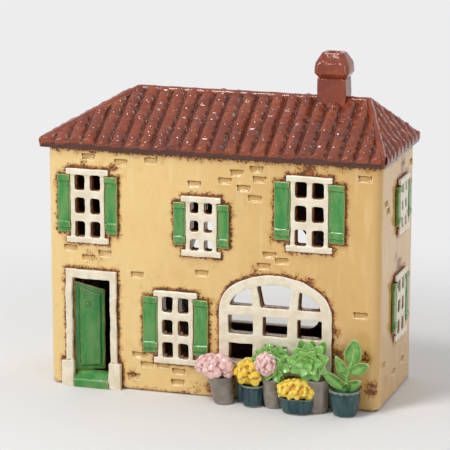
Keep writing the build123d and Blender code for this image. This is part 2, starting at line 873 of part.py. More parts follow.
# Broad-leaved plant in the sixth pot: each leaf's base across and up, tip across and up, and width
plant_height = 28.6
plant_before = 6.6
plant_thickness = 2.2
stem_width = 2.0
stem_lean_share = 0.12
stem_top_share = 0.56
plant_leaf_shares = (
    (0.11, 0.52, 0.21, 1.0, 0.32),
    (0.05, 0.22, -0.17, 0.66, 0.2),
    (0.1, 0.38, 0.44, 0.54, 0.22),
    (0.0, 0.03, -0.42, 0.38, 0.22),
    (0.0, 0.04, 0.31, 0.26, 0.2),
)
plant_x, *_, sixth_pot_height = pots["sixth"]
stem_top_x = plant_x + plant_height * stem_lean_share
stem_top_z = sixth_pot_height + plant_height * stem_top_share

with BuildPart() as sixth_pot_leaves:
    with BuildSketch(front_face.offset(plant_before)):
        Polygon(
            (plant_x - stem_width / 2, sixth_pot_height),
            (plant_x + stem_width / 2, sixth_pot_height),
            (stem_top_x + stem_width / 2, stem_top_z),
            (stem_top_x - stem_width / 2, stem_top_z),
            align=None,
        )
        for base_x, base_z, tip_x, tip_z, width in plant_leaf_shares:
            leaf(
                (plant_x + base_x * plant_height, sixth_pot_height + base_z * plant_height),
                (plant_x + tip_x * plant_height, sixth_pot_height + tip_z * plant_height),
                width * plant_height,
            )
    extrude(amount=plant_thickness)
    add(pot_side.part, mode=Mode.INTERSECT)
    for neighbour in standing:
        add(neighbour, mode=Mode.SUBTRACT)
stand(sixth_pot_leaves, "sixth_pot_leaves")

# Tealight: an aluminium cup, its wax, and the wick in its sustainer
tealight_x = right_end - tealight_from_right_end
tealight_y = front_y + tealight_from_front
cup_plane = Plane(origin=(tealight_x, tealight_y, floor_thickness), z_dir=(0, 0, 1))
wax_foot = cup_wall + sustainer_thickness

with BuildPart() as tealight_cup:
    with BuildSketch(cup_plane):
        Circle(cup_radius)
    extrude(amount=cup_height)
    with BuildSketch(cup_plane.offset(cup_wall)):
        Circle(cup_radius - cup_wall)
    extrude(amount=cup_height, mode=Mode.SUBTRACT)
save(tealight_cup, "tealight_cup")

with BuildPart() as wick_sustainer:
    with BuildSketch(cup_plane.offset(cup_wall)):
        Circle(sustainer_radius)
    extrude(amount=sustainer_thickness)
save(wick_sustainer, "wick_sustainer")

with BuildPart() as tealight_wick:
    with BuildSketch(cup_plane.offset(wax_foot)):
        Circle(wick_radius)
    extrude(amount=wax_depth + wick_height)
save(tealight_wick, "tealight_wick")

with BuildPart() as tealight_wax:
    with BuildSketch(cup_plane.offset(cup_wall)):
        Circle(cup_radius - cup_wall)
    extrude(amount=wax_depth)
    add(wick_sustainer.part, mode=Mode.SUBTRACT)
    add(tealight_wick.part, mode=Mode.SUBTRACT)
save(tealight_wax, "tealight_wax")
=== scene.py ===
# %% [markdown]
# # A glazed ceramic tealight house
# The real house is built from rolled slabs of clay. The walls are pierced for the windows, thin slabs and
# rolled strips are pressed on for the frames, the shutters and the roof, and every colour is a glaze that
# pools in the hollows and thins on the edges. The CAD pieces have the right sizes and places, but crisp
# edges. This script gives each of them the soft edges and the uneven surface of fired clay, and glazes
# them.

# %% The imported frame
import math
import random

import bpy
import numpy as np
from mathutils import Matrix, Vector
from mathutils.bvhtree import BVHTree


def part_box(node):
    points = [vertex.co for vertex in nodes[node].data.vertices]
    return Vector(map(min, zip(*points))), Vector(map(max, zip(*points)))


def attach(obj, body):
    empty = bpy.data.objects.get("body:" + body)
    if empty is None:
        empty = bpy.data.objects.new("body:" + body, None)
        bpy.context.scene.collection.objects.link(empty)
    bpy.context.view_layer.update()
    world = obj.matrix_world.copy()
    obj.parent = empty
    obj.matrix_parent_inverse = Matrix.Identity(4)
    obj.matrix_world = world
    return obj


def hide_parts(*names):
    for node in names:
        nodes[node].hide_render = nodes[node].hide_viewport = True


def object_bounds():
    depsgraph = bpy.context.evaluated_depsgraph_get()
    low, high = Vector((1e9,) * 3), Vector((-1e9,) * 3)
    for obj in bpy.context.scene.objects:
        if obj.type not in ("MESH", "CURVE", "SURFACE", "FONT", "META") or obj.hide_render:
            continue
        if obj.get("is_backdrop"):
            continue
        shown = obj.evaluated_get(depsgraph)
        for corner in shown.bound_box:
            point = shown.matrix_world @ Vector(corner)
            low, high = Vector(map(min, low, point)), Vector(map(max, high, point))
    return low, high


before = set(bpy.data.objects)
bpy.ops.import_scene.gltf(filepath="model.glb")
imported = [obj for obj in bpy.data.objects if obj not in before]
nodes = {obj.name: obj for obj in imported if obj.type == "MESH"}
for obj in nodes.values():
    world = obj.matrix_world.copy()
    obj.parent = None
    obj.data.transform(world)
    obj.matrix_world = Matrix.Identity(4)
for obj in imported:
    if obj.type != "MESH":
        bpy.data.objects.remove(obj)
cad_low, cad_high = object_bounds()
mm = 0.001
print("CAD box in mm:", [round(v / mm, 1) for v in (*cad_low, *cad_high)])

# %% [markdown]
# ## Helpers
# Every operator in Blender acts on what is selected, so the first helpers select exactly one piece, and
# run an edit-mode step on it. A modifier is added, set and applied in one call, because a finished
# ceramic piece is plain mesh with nothing left to evaluate.

# %% Selecting, editing and applying
def only(piece):
    """Select one piece and nothing else."""
    bpy.ops.object.select_all(action="DESELECT")
    piece.select_set(True)
    bpy.context.view_layer.objects.active = piece


def edit(piece, operator, **settings):
    """Run one edit-mode operator on a whole piece."""
    only(piece)
    bpy.ops.object.mode_set(mode="EDIT")
    bpy.ops.mesh.select_all(action="SELECT")
    operator(**settings)
    bpy.ops.object.mode_set(mode="OBJECT")


def cut_off(piece, point, drop):
    """Cut a closed piece along a plane, drop the side that a direction points to, and close the cut."""
    edit(piece, bpy.ops.mesh.bisect, plane_co=point, plane_no=drop, clear_outer=True, use_fill=True)


def apply(piece, kind, **settings):
    """Add one modifier, set it and apply it."""
    only(piece)
    modifier = piece.modifiers.new(kind.lower(), kind)
    for key, value in settings.items():
        setattr(modifier, key, value)
    bpy.ops.object.modifier_apply(modifier=modifier.name)


def join(name, *pieces):
    """Join pieces into one object with the given name."""
    only(pieces[0])
    for piece in pieces:
        piece.select_set(True)
    bpy.ops.object.join()
    pieces[0].name = pieces[0].data.name = name
    return pieces[0]


# %% [markdown]
# A new piece starts as a primitive, which is added with nothing else selected. Tiles, pots, the stem and
# the tealight all start as a disc and are pulled out of it ring by ring, as a potter pulls a wall out of
# a foot, so that each of them is one closed skin.

# %% Starting a new piece
def primitive(operator, name, **settings):
    """Add a primitive with nothing else selected, and name it."""
    bpy.ops.object.select_all(action="DESELECT")
    operator(**settings)
    piece = bpy.context.active_object
    piece.name = piece.data.name = name
    return piece


def disc(name, radius, middle, sides, turn=(0, 0, 0)):
    """A flat round face."""
    settings = {"radius": radius, "vertices": sides, "location": middle, "rotation": turn}
    piece = primitive(bpy.ops.mesh.primitive_circle_add, name, fill_type="NGON", **settings)
    bpy.ops.object.transform_apply(location=True, rotation=True, scale=True)
    return piece


def pull_rings(piece, axis, centre, rings):
    """Pull the one face of a flat start out along an axis, ring by ring: each rises and is then scaled."""
    only(piece)
    bpy.ops.object.mode_set(mode="EDIT")
    bpy.ops.mesh.select_all(action="SELECT")
    grow = [axis != letter for letter in "XYZ"]
    height = Vector(centre)
    for rise, scale in rings:
        step = Vector([0 if flat else rise for flat in grow])
        bpy.ops.mesh.extrude_region_move(TRANSFORM_OT_translate={"value": step})
        height += step
        size = tuple(scale if flat else 1 for flat in grow)
        bpy.ops.transform.resize(value=size, center_override=height)
    bpy.ops.mesh.select_all(action="SELECT")
    bpy.ops.mesh.normals_make_consistent(inside=False)
    bpy.ops.object.mode_set(mode="OBJECT")


def thrown(name, outline, foot, sides):
    """Throw a round piece: a disc pulled up through an outline of level above the foot and radius, in mm."""
    start = Vector((foot.x, foot.y, foot.z + outline[0][0] * mm))
    piece = disc(name, outline[0][1] * mm, start, sides)
    pairs = zip(outline, outline[1:])
    rings = [((high - low) * mm, wide / narrow) for (low, narrow), (high, wide) in pairs]
    pull_rings(piece, "Z", start, rings)
    return piece


def smooth_shade(piece, degrees=None):
    """Shade a piece smooth, all over or only where its faces meet at less than so many degrees."""
    only(piece)
    if degrees is None:
        bpy.ops.object.shade_smooth()
    else:
        bpy.ops.object.shade_smooth_by_angle(angle=math.radians(degrees))


# %% [markdown]
# Slow bends, flutes and the wander of a hand are formulas of the place, so the vertices of a piece are
# read into an array, moved and written back. In the same way each vertex can carry painted numbers, which
# its glaze reads. The most useful one is how sharply the surface bends there: it compares each vertex
# with the middle of its neighbours, so edges count above 0 and hollows below 0.

# %% Reading, moving and painting vertices
def points(piece):
    """The places of a piece's vertices, as an array with one row each."""
    places = np.empty(len(piece.data.vertices) * 3)
    piece.data.vertices.foreach_get("co", places)
    return places.reshape(-1, 3)


def move_points(piece, places):
    """Write the places of a piece's vertices back."""
    piece.data.vertices.foreach_set("co", places.ravel())
    piece.data.update()


def normals(piece):
    """The direction out of the surface at each vertex."""
    directions = np.empty(len(piece.data.vertices) * 3)
    piece.data.vertex_normals.foreach_get("vector", directions)
    return directions.reshape(-1, 3)


def paint(piece, name, values):
    """Keep one number per vertex on a piece, for its glaze to read."""
    layers = piece.data.attributes
    layer = layers.get(name) or layers.new(name, "FLOAT", "POINT")
    layer.data.foreach_set("value", np.asarray(values, dtype=np.float32))


def paint_bend(piece, rounds=2):
    """Paint how sharply the surface bends at each vertex, in 1/mm, after some rounds of smoothing."""
    mesh = piece.data
    pairs = np.empty(len(mesh.edges) * 2, dtype=np.int64)
    mesh.edges.foreach_get("vertices", pairs)
    first, second = pairs.reshape(-1, 2).T
    ends = np.r_[first, second]
    places, out = points(piece), normals(piece)
    count = np.maximum(np.bincount(ends, minlength=len(places)), 1)

    def around(values_first, values_second):
        return np.bincount(ends, np.r_[values_second, values_first], len(places)) / count

    middle = np.stack([around(places[first, k], places[second, k]) for k in range(3)], axis=1)
    run = ((places[first] - places[second]) ** 2).sum(axis=1)
    bend = -2 * ((middle - places) * out).sum(axis=1) / np.maximum(around(run, run), 1e-12) * mm
    for _ in range(rounds):
        bend = 0.5 * bend + 0.5 * around(bend[first], bend[second])
    paint(piece, "bend", bend)


def copies(name, shape, places):
    """Copy a shape to each place, a matrix, and join the copies into one piece."""
    made = []
    for place in places:
        piece = bpy.data.objects.new(name, shape.data.copy())
        piece.data.transform(place)
        bpy.context.collection.objects.link(piece)
        made.append(piece)
    return join(name, *made)


# %% [markdown]
# Wet clay has no sharp edge. A voxel remesh turns a CAD solid into an even skin of small faces, a few
# rounds of smoothing round its edges off, and a displacement by a soft cloud pattern gives it the wobble
# of hand work. The cloud pattern is a fixed function of the place, so each run gives the same piece.

# %% Soft clay from a crisp solid
coarse = 1.0


def cloud_texture(name, size):
    """A soft cloud pattern, which is only used to displace."""
    texture = bpy.data.textures.new(name, "CLOUDS")
    texture.noise_scale = size
    texture.noise_depth = 2
    return texture


slow_clouds = cloud_texture("slow_clouds", 26 * mm)
mid_clouds = cloud_texture("mid_clouds", 7 * mm)


def solid_copy(node, name):
    """A copy of a CAD node's solid with its loose triangles merged."""
    piece = bpy.data.objects.new(name, nodes[node].data.copy())
    piece.data.materials.clear()
    bpy.context.collection.objects.link(piece)
    edit(piece, bpy.ops.mesh.remove_doubles, threshold=0.001 * mm)
    return piece


def soften(piece, voxel, rounds, bulge=0.0, sway=0.0):
    """Remesh and smooth a piece, then let it sway bodily and bulge along its normals, all in metres."""
    apply(piece, "REMESH", mode="VOXEL", voxel_size=voxel * coarse, use_smooth_shade=True)
    apply(piece, "SMOOTH", factor=0.5, iterations=rounds)
    if sway:
        settings = {"texture": mid_clouds, "direction": "RGB_TO_XYZ"}
        apply(piece, "DISPLACE", strength=sway, mid_level=0.5, **settings)
    if bulge:
        apply(piece, "DISPLACE", texture=slow_clouds, strength=bulge, mid_level=0.5)
    return piece


def dress(piece, glaze, slot, *stands_for, body="house"):
    """Glaze a finished piece, hang it on its body and hide the CAD parts that it stands for."""
    paint_bend(piece)
    piece.data.materials.clear()
    piece.data.materials.append(glaze)
    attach(piece, body)
    if stands_for:
        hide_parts(*stands_for)
    print(piece.name, len(piece.data.polygons), "faces")
    return piece


# %% [markdown]
# ## Glazes
# A glaze is never one flat colour. It drifts from thick to thin, breaks to rust or cream along raised
# edges, and gathers dark in hollows. The shader maths is written as plain sums on the wrapped sockets
# below.

# %% A small language for shader nodes
class Wire:
    """An output socket that can be added, multiplied and so on; each sum adds one Math node."""

    def __init__(self, glaze, socket):
        self.glaze, self.socket = glaze, socket

    def sum(self, operation, *values):
        return self.glaze.add("ShaderNodeMath", {"operation": operation}, dict(enumerate(values)))

    def __add__(self, other):
        return self.sum("ADD", self, other)

    def __sub__(self, other):
        return self.sum("SUBTRACT", self, other)

    def __mul__(self, other):
        return self.sum("MULTIPLY", self, other)

    def __abs__(self):
        return self.sum("ABSOLUTE", self)

    __radd__ = __add__


class Glaze:
    """A material under construction. add() makes any node; the other methods are common uses of it."""

    output_kind = "ShaderNodeOutputMaterial"

    def __init__(self, name):
        self.material = bpy.data.materials.new(name)
        self.start(self.material, "Object")

    def start(self, owner, coordinates):
        owner.use_nodes = True
        self.tree = owner.node_tree
        self.tree.nodes.clear()
        self.place = self.add("ShaderNodeTexCoord", output=coordinates)

    def add(self, kind, settings=None, inputs=None, output=0):
        node = self.tree.nodes.new(kind)
        for key, value in (settings or {}).items():
            setattr(node, key, value)
        for key, value in (inputs or {}).items():
            if isinstance(value, Wire):
                self.tree.links.new(value.socket, node.inputs[key])
            elif node.inputs[key].type == "RGBA":
                node.inputs[key].default_value = (*value, 1.0)
            else:
                node.inputs[key].default_value = value
        return Wire(self, node.outputs[output])

    def noise(self, size, detail, stretch=None):
        """Soft noise whose blobs are about the given size in metres, from 0 to 1."""
        place = self.place
        if stretch:
            place = self.add("ShaderNodeMapping", inputs={"Vector": place, "Scale": stretch})
        settings = {"Vector": place, "Scale": 1 / size, "Detail": detail}
        return self.add("ShaderNodeTexNoise", inputs=settings)

    def part(self, place, axis):
        """One coordinate of a place: 0 for X, 1 for Y."""
        return self.add("ShaderNodeSeparateXYZ", inputs={0: place}, output=axis)

    def step(self, value, low, high):
        """A smooth step of a value from 0 at low to 1 at high."""
        settings = {"interpolation_type": "SMOOTHSTEP"}
        return self.add("ShaderNodeMapRange", settings, {"Value": value, 1: low, 2: high})

    def blend(self, factor, first, second):
        """Mix two colours, which are the sockets 6 and 7 of the node and leave it at socket 2."""
        return self.add("ShaderNodeMix", {"data_type": "RGBA"}, {0: factor, 6: first, 7: second}, 2)

    def painted(self, name):
        """A number painted on the vertices of the piece."""
        return self.add("ShaderNodeAttribute", {"attribute_name": name}, output="Fac")

    def fire(self, colour, roughness, height, depth=0.1 * mm, **constants):
        """Finish the material: a glossy shader, with a fine relief that a height gives."""
        bump = self.add("ShaderNodeBump", inputs={"Distance": depth, "Height": height})
        inputs = {"Base Color": colour, "Roughness": roughness, "Normal": bump, **constants}
        self.output(self.add("ShaderNodeBsdfPrincipled", inputs=inputs))
        return self.material

    def output(self, shader):
        node = self.tree.nodes.new(self.output_kind)
        self.tree.links.new(shader.socket, node.inputs["Surface"])


def srgb(red, green, blue):
    """A colour as a screen shows it, 0 to 255, in the linear values that a shader takes."""

    def linear(value):
        value /= 255
        return value / 12.92 if value <= 0.04045 else ((value + 0.055) / 1.055) ** 2.4

    return tuple(linear(value) for value in (red, green, blue))


# %% [markdown]
# ### Butter yellow with brown oxide
# The wall glaze is a transparent honey over pale clay. Brown oxide was brushed along every applied piece
# and wiped back, so it stays as a broken dark crust round the frames, in the pressed brick marks and
# along the eave. The walls carry painted numbers: how much oxide lies at a place, how stained it is round
# a brick mark, where painted shade darkens the mark's top edge, and how deep in a reveal it is, where
# painted shade darkens the reveal inwards. Each is broken up by noise before it becomes a colour. The
# glaze is also darker and warmer towards the right end, which is partly painted shade, and pale on raised
# edges, which is partly a painted highlight.

# %% Wall glaze
# Of these colours, the soot is painted shade in the deep reveals, the pale worn edge is partly a painted
# highlight, and the dark stain is partly painted shade under the brick marks' top edges.
butter, honey, amber = srgb(231, 198, 133), srgb(211, 170, 106), srgb(184, 120, 38)
rust, umber, reveal_shade = srgb(150, 82, 30), srgb(88, 46, 22), srgb(50, 30, 23)
pale_streak, worn_edge_and_highlight = srgb(240, 216, 170), srgb(246, 226, 178)
light_stain, dark_stain_and_shade = srgb(188, 138, 58), srgb(108, 62, 30)


def wall_glaze():
    glaze = Glaze("wall_glaze")
    drift = glaze.noise(34 * mm, 3)
    patches = glaze.noise(4.5 * mm, 3)
    specks = glaze.noise(1.3 * mm, 1)
    oxide = glaze.painted("oxide")

    # The glaze itself, darker and warmer to the right end, partly as painted shade, with pale runs
    across = glaze.part(glaze.place, 0)
    warmth_and_shade = glaze.step(across, -0.1, 0.12) * 0.8 + drift * 0.6 + patches * 0.3
    base = glaze.blend(glaze.step(warmth_and_shade, 0.4, 1.25), butter, honey)
    streaks = glaze.noise(5 * mm, 3, (1.0, 1.0, 0.16))
    base = glaze.blend(glaze.step(streaks, 0.5, 0.72) * 0.22, base, pale_streak)

    # The amber halo of the oxide, the stains round the brick marks with painted shade under their top
    # edges, and the pale worn edges
    halo = glaze.step(oxide + (patches - 0.5) * 0.9, 0.1, 0.6)
    base = glaze.blend(halo * 0.85, base, amber)
    mark_stain_and_shade = glaze.painted("mark_stain_and_shade") * (patches * 0.9 + 0.55)
    base = glaze.blend(glaze.step(mark_stain_and_shade, 0.08, 0.5) * 0.85, base, light_stain)
    base = glaze.blend(glaze.step(mark_stain_and_shade, 0.42, 0.8) * 0.9, base, dark_stain_and_shade)
    # Pale on the raised edges: worn glaze, and partly a painted highlight
    base = glaze.blend(glaze.step(glaze.painted("bend"), 0.12, 0.5) * 0.6, base, worn_edge_and_highlight)

    # The crust of oxide that was left, and stray specks of it
    crust = oxide * 1.15 + (patches - 0.5) * 0.8 + (specks - 0.5) * 2.0
    crust = glaze.step(crust, 0.56, 0.66) * glaze.step(oxide, 0.03, 0.2)
    dark = glaze.blend(glaze.step(specks * 0.5 + patches * 0.5, 0.42, 0.56), rust, umber)
    base = glaze.blend(crust * 0.95, base, dark)
    base = glaze.blend(glaze.step(glaze.noise(1.5 * mm, 1), 0.76, 0.84) * 0.3, base, rust)

    # The reveals of the windows and the door: rust and umber oxide at their front, then painted shade that
    # darkens them to near black deeper in and on the inner faces
    reveal = glaze.painted("reveal")
    deep = glaze.blend(glaze.step(patches, 0.4, 0.6), rust, umber)
    base = glaze.blend(glaze.step(reveal, 0.04, 0.25), base, deep)
    base = glaze.blend(glaze.step(reveal + (patches - 0.5) * 0.4, 0.5, 1.1), base, reveal_shade)
    relief = glaze.noise(3.5 * mm, 2) + specks * crust * 1.2
    return glaze.fire(base, 0.07 + crust * 0.28, relief, 0.09 * mm)


wall = wall_glaze()

# %% [markdown]
# ### Iron red for the roof
# The roof glaze is glossy. It runs off the crowns of the tiles, where it is a warm brick red, into the
# channels, where it gathers in a purple brown. The creases under each tile's lip get the same purple
# brown, which is partly painted shade. The tiles carry a painted number for their height above the slab.

# %% Roof glaze
def roof_glaze():
    glaze = Glaze("roof_glaze")
    drift = glaze.noise(18 * mm, 3)
    patches = glaze.noise(5 * mm, 3)
    grain = glaze.noise(0.9 * mm, 2)
    deep, dusk = srgb(80, 44, 34), srgb(120, 52, 33)
    brick, warm = srgb(138, 62, 36), srgb(164, 86, 36)
    base = glaze.blend(glaze.step(drift, 0.38, 0.62), brick, dusk)
    base = glaze.blend(glaze.step(patches + (grain - 0.5) * 0.3, 0.52, 0.7) * 0.5, base, warm)
    crown = glaze.painted("crown")
    base = glaze.blend(glaze.step(crown + (grain - 0.5) * 0.4, 0.42, 0.08), base, deep)
    # The creases under each lip darken, which is partly painted shade
    crease_glaze_and_shade = glaze.step(glaze.painted("bend") + (grain - 0.5) * 0.1, 0.0, -0.2)
    base = glaze.blend(crease_glaze_and_shade * 0.95, base, deep)
    relief = glaze.noise(2.2 * mm, 2) + grain * 0.15
    return glaze.fire(base, 0.06 + grain * 0.04, relief)


roof = roof_glaze()

# %% [markdown]
# ### Cream, green, grey, teal and the flower glazes
# These share one recipe: two colours that drift into each other, a thin broken colour on the edges, where
# fired glaze pulls away, and a darker one where it pools. All of them read the bend painted on the piece.
# The cream frames also have dirt of brown oxide where they touch the wall.

# %% Shared recipe
def broken_glaze(name, colours, size, edge=(0.3, 0.7), gloss=0.09, stretch=None, dirt=0.0):
    """A glaze of four screen colours: the main one, the one it drifts to, a broken and a pooled one."""
    main, drifted, broken, pooled = (srgb(*colour) for colour in colours)
    glaze = Glaze(name)
    drift = glaze.noise(size, 3, stretch)
    grain = glaze.noise(0.8 * mm, 2)
    bend = glaze.painted("bend")
    base = glaze.blend(glaze.step(drift, 0.36, 0.64), main, drifted)
    base = glaze.blend(glaze.step(bend + (grain - 0.5) * 0.5, -0.12, -0.5), base, pooled)
    base = glaze.blend(glaze.step(bend + (grain - 0.5) * 0.7, *edge), base, broken)
    if dirt:
        foot = glaze.painted("contact") + (drift - 0.5) * 0.5 + (grain - 0.5) * 0.6
        base = glaze.blend(glaze.step(foot, 0.42, 0.7) * dirt, base, rust)
    relief = glaze.noise(2.5 * mm, 2) + grain * 0.2
    return glaze.fire(base, gloss + grain * 0.05, relief)


cream_colours = ((232, 222, 200), (222, 208, 180), (242, 235, 218), (176, 142, 98))
green_colours = ((94, 147, 79), (50, 134, 60), (178, 150, 90), (26, 112, 48))
grey_colours = ((146, 137, 124), (126, 116, 104), (164, 155, 142), (92, 72, 54))
teal_colours = ((24, 56, 68), (54, 82, 84), (124, 138, 116), (14, 34, 44))
pink_colours = ((224, 178, 174), (232, 194, 188), (244, 218, 210), (188, 124, 126))
yellow_colours = ((230, 190, 44), (238, 206, 78), (244, 220, 124), (190, 122, 10))
leaf_colours = ((104, 166, 76), (132, 188, 98), (206, 212, 156), (60, 122, 46))

cream = broken_glaze("cream_glaze", cream_colours, 6 * mm, dirt=0.92)
green = broken_glaze("green_glaze", green_colours, 4 * mm, (0.3, 0.66), stretch=(1.0, 1.0, 0.3))
grey = broken_glaze("grey_glaze", grey_colours, 6 * mm, gloss=0.22)
teal = broken_glaze("teal_glaze", teal_colours, 3 * mm, (0.3, 0.6), stretch=(1.0, 1.0, 0.25))
pink = broken_glaze("pink_glaze", pink_colours, 3 * mm, (0.45, 1.0))
yellow = broken_glaze("yellow_glaze", yellow_colours, 2.5 * mm, (0.45, 1.0))
leaf_green = broken_glaze("leaf_glaze", leaf_colours, 3 * mm, (0.5, 1.0))

# %% [markdown]
# ### The dark wash inside
# Inside, the clay is dark brown, which is partly a thin brown wash and partly painted shade. It shows as
# the dark behind the panes, so two browns that drift into each other are enough.

# %% Inside glaze
def inside_glaze():
    glaze = Glaze("inside_glaze")
    patches = glaze.noise(6 * mm, 3)
    base = glaze.blend(glaze.step(patches, 0.35, 0.65), srgb(112, 68, 46), umber)
    return glaze.fire(base, 0.18 + patches * 0.1, glaze.noise(3 * mm, 2))


inside = inside_glaze()

# %% [markdown]
# ## Walls
# The four walls meet in seams that the potter smoothed away, so they are joined, remeshed as one skin,
# and cut apart again along mitres, which then don't show. Before that the brick marks are pressed in: the
# potter used the end of a small stick, held at a slant, in loose groups. Each mark is a small block that
# is taken out of its wall.

# %% Brick marks pressed into the clay
wall_half_length, wall_half_depth = 90 * mm, 35 * mm
wall_thickness = 5.5 * mm
wall_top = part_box("front_wall")[1].z

brick_width, brick_height, brick_press = 7.0 * mm, 3.2 * mm, 1.0 * mm
brick_tilt = math.radians(15)

# The middle of each mark in mm: its place along the wall and its level
front_bricks = (
    (-67, 124.4), (-49, 122.4), (-32.5, 124.4), (-9, 113.7), (7.5, 116.4), (-77.5, 75), (-58.5, 73.2),
    (-67.5, 70.2), (24.5, 123.6), (26, 118.3), (14, 121), (17.5, 113.2), (23.5, 108.2), (81.5, 122.2),
    (31.5, 79.2), (28.5, 73), (38, 76.4), (-5, 66.6), (80, 51), (-40.5, 63), (-40, 19.6), (-35.5, 14.6),
    (-26.5, 15.2), (-18, 12.4), (-18.5, 6.3), (-43, 7.6),
)
end_bricks = ((-24.5, 107.6), (-20, 103), (27.5, 119), (14.5, 14.6), (-25.5, 22.5), (-4, 13.2))
back_bricks = (
    (-70, 118), (-61, 113), (-64, 60), (62, 112), (71, 108), (58, 66), (66, 30), (-72, 24), (-61, 20),
    (8, 108),
)


def brick_marks():
    """Each mark's place, the turn of its wall in degrees, and the sign of its slant."""
    marks = [(Vector((x * mm, -wall_half_depth, z * mm)), 0, -1) for x, z in front_bricks]
    marks += [(Vector((x * mm, wall_half_depth, z * mm)), 0, 1) for x, z in back_bricks]
    for side in (-1, 1):
        marks += [(Vector((side * wall_half_length, y * mm, z * mm)), 90, -side) for y, z in end_bricks]
    return marks


def brick_stamps(marks):
    """Every brick mark as a small block that reaches the depth of the press into its wall."""
    jitter = random.Random(11)
    stamps = []
    for place, turn, slant in marks:
        settings = {"size": 1, "location": place, "rotation": (0, 0, math.radians(turn))}
        stamp = primitive(bpy.ops.mesh.primitive_cube_add, "stamp", **settings)
        width = brick_width * jitter.uniform(0.8, 1.1)
        stamp.scale = (width, 2 * brick_press, brick_height * jitter.uniform(0.9, 1.1))
        stamp.rotation_euler.rotate_axis("Y", jitter.uniform(-0.05, 0.05))
        stamp.rotation_euler.rotate_axis("X", slant * brick_tilt)
        bpy.ops.object.transform_apply(location=True, rotation=True, scale=True)
        stamps.append(stamp)
    return join("brick_stamps", *stamps)


marks = brick_marks()
print(len(marks), "brick marks")

# %% [markdown]
# The end walls are first made a little longer, so that they overlap the front and back walls and the
# remesh closes the seams. The remeshed skin has far more faces than flat walls need, so a third of them
# is kept.

# %% One skin for the four walls
seam_overlap = 2 * mm
stamps = brick_stamps(marks)
wall_copies = []
for name in ("front_wall", "back_wall", "left_wall", "right_wall"):
    piece = solid_copy(name, f"{name}_copy")
    if name in ("left_wall", "right_wall"):
        low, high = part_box(name)
        move_points(piece, points(piece) * (1, 1 + seam_overlap / (high.y - low.y), 1))
    apply(piece, "BOOLEAN", object=stamps, operation="DIFFERENCE", solver="EXACT", use_self=True)
    wall_copies.append(piece)
bpy.data.objects.remove(stamps)
skin = join("wall_skin", *wall_copies)
soften(skin, 0.52 * mm, 2, bulge=0.35 * mm)
apply(skin, "DECIMATE", ratio=0.32)
print("wall skin", len(skin.data.polygons), "faces")

# %% [markdown]
# The oxide is painted by distance: strong where a wall lies close to an applied piece, under the eave and
# along the foot. The distance comes from a search tree over the CAD solids of all applied pieces.

# %% How far each point of the walls is from the applied pieces
applied_endings = ("_window_frame", "_shutters", "_pot", "_blossom", "_leaves")
applied = [node for name, node in nodes.items() if name.endswith(applied_endings) or name == "door_surround"]


def search_tree(pieces):
    """One search tree over the triangles of several pieces."""
    corners, faces = [], []
    for piece in pieces:
        start = len(corners)
        corners += [vertex.co for vertex in piece.data.vertices]
        faces += [[start + index for index in polygon.vertices] for polygon in piece.data.polygons]
    return BVHTree.FromPolygons(corners, faces)


def distances(places, tree, reach):
    """The distance of each place from what the tree holds, or the reach where it is farther."""
    return np.array([tree.find_nearest(Vector(place), reach)[3] or reach for place in places])


wall_points = points(skin)
across, before, level = wall_points.T
front_side = before < -wall_half_depth + 2 * mm
on_end = np.abs(across) > wall_half_length - 2 * mm
near = distances(wall_points, search_tree(applied), 9 * mm)
print("nearest", round(near.min() / mm, 2), "mm over", len(near), "points")

# %% [markdown]
# The brush also left splashes, and oxide pooled in a line on top of the four front lintels. Each of these
# is a soft spot or band, and at each point the strongest of all counts.

# %% Paint the oxide
# Each splash in mm: its place along the wall, its level and its radius, and then its strength
front_splashes = (
    (-53.2, 10, 4, 1.0), (-52.6, 22, 3, 0.85), (-53.4, 38, 2.6, 0.8), (-79.5, 22, 2.6, 0.6),
    (52, 124.4, 5.5, 1.0), (-16.8, 104, 2.2, 0.85), (-2, 107.6, 3, 0.7), (33.2, 88, 2.6, 0.9),
    (-53.2, 119.6, 3, 0.95), (-70, 120.4, 2.6, 0.6), (53, 66.5, 3.4, 0.85), (24, 70.2, 3.2, 0.65),
    (38, 70.6, 3, 0.45), (66.5, 41, 3.4, 0.8), (68.5, 30, 5, 0.95), (82, 29, 4.5, 0.75),
    (85.5, 12, 4.4, 0.95), (-2.5, 20, 3.6, 0.9), (-1, 5, 3.6, 0.8), (6.5, 32, 3.4, 0.85),
    (5, 37, 3, 0.7), (44, 83.5, 4, 0.6), (65, 83, 3, 0.7), (5.5, 82, 2.6, 0.5),
    (-14, 81, 2.4, 0.5), (-9, 3, 5, 0.5), (-44, 8, 3.6, 0.6), (-66, 71, 5, 0.5),
)
end_splashes = (
    (9, 121, 6, 0.95), (5, 68, 7, 1.0), (-5, 104, 4, 0.8), (-6, 44, 4, 0.8), (-5, 30, 4, 0.7),
    (-2, 74, 4, 0.7), (20, 90, 4, 0.6), (-20, 12, 5, 0.5),
)
front_windows = ("upper_left", "upper_middle", "upper_right", "lower_front")

oxide = np.exp(-near / (1.35 * mm))
oxide[on_end] = np.exp(-near[on_end] / (1.9 * mm))


def add_oxide(amount, where=True):
    """Raise the oxide to an amount wherever that is more than what lies there."""
    oxide[:] = np.maximum(oxide, np.where(where, amount, 0))


def add_splashes(splashes, along, share, where):
    for middle, height, radius, strength in splashes:
        off = ((along - middle * mm) ** 2 + (level - height * mm) ** 2) / (radius * mm) ** 2
        add_oxide(share * strength * np.exp(-off), where)


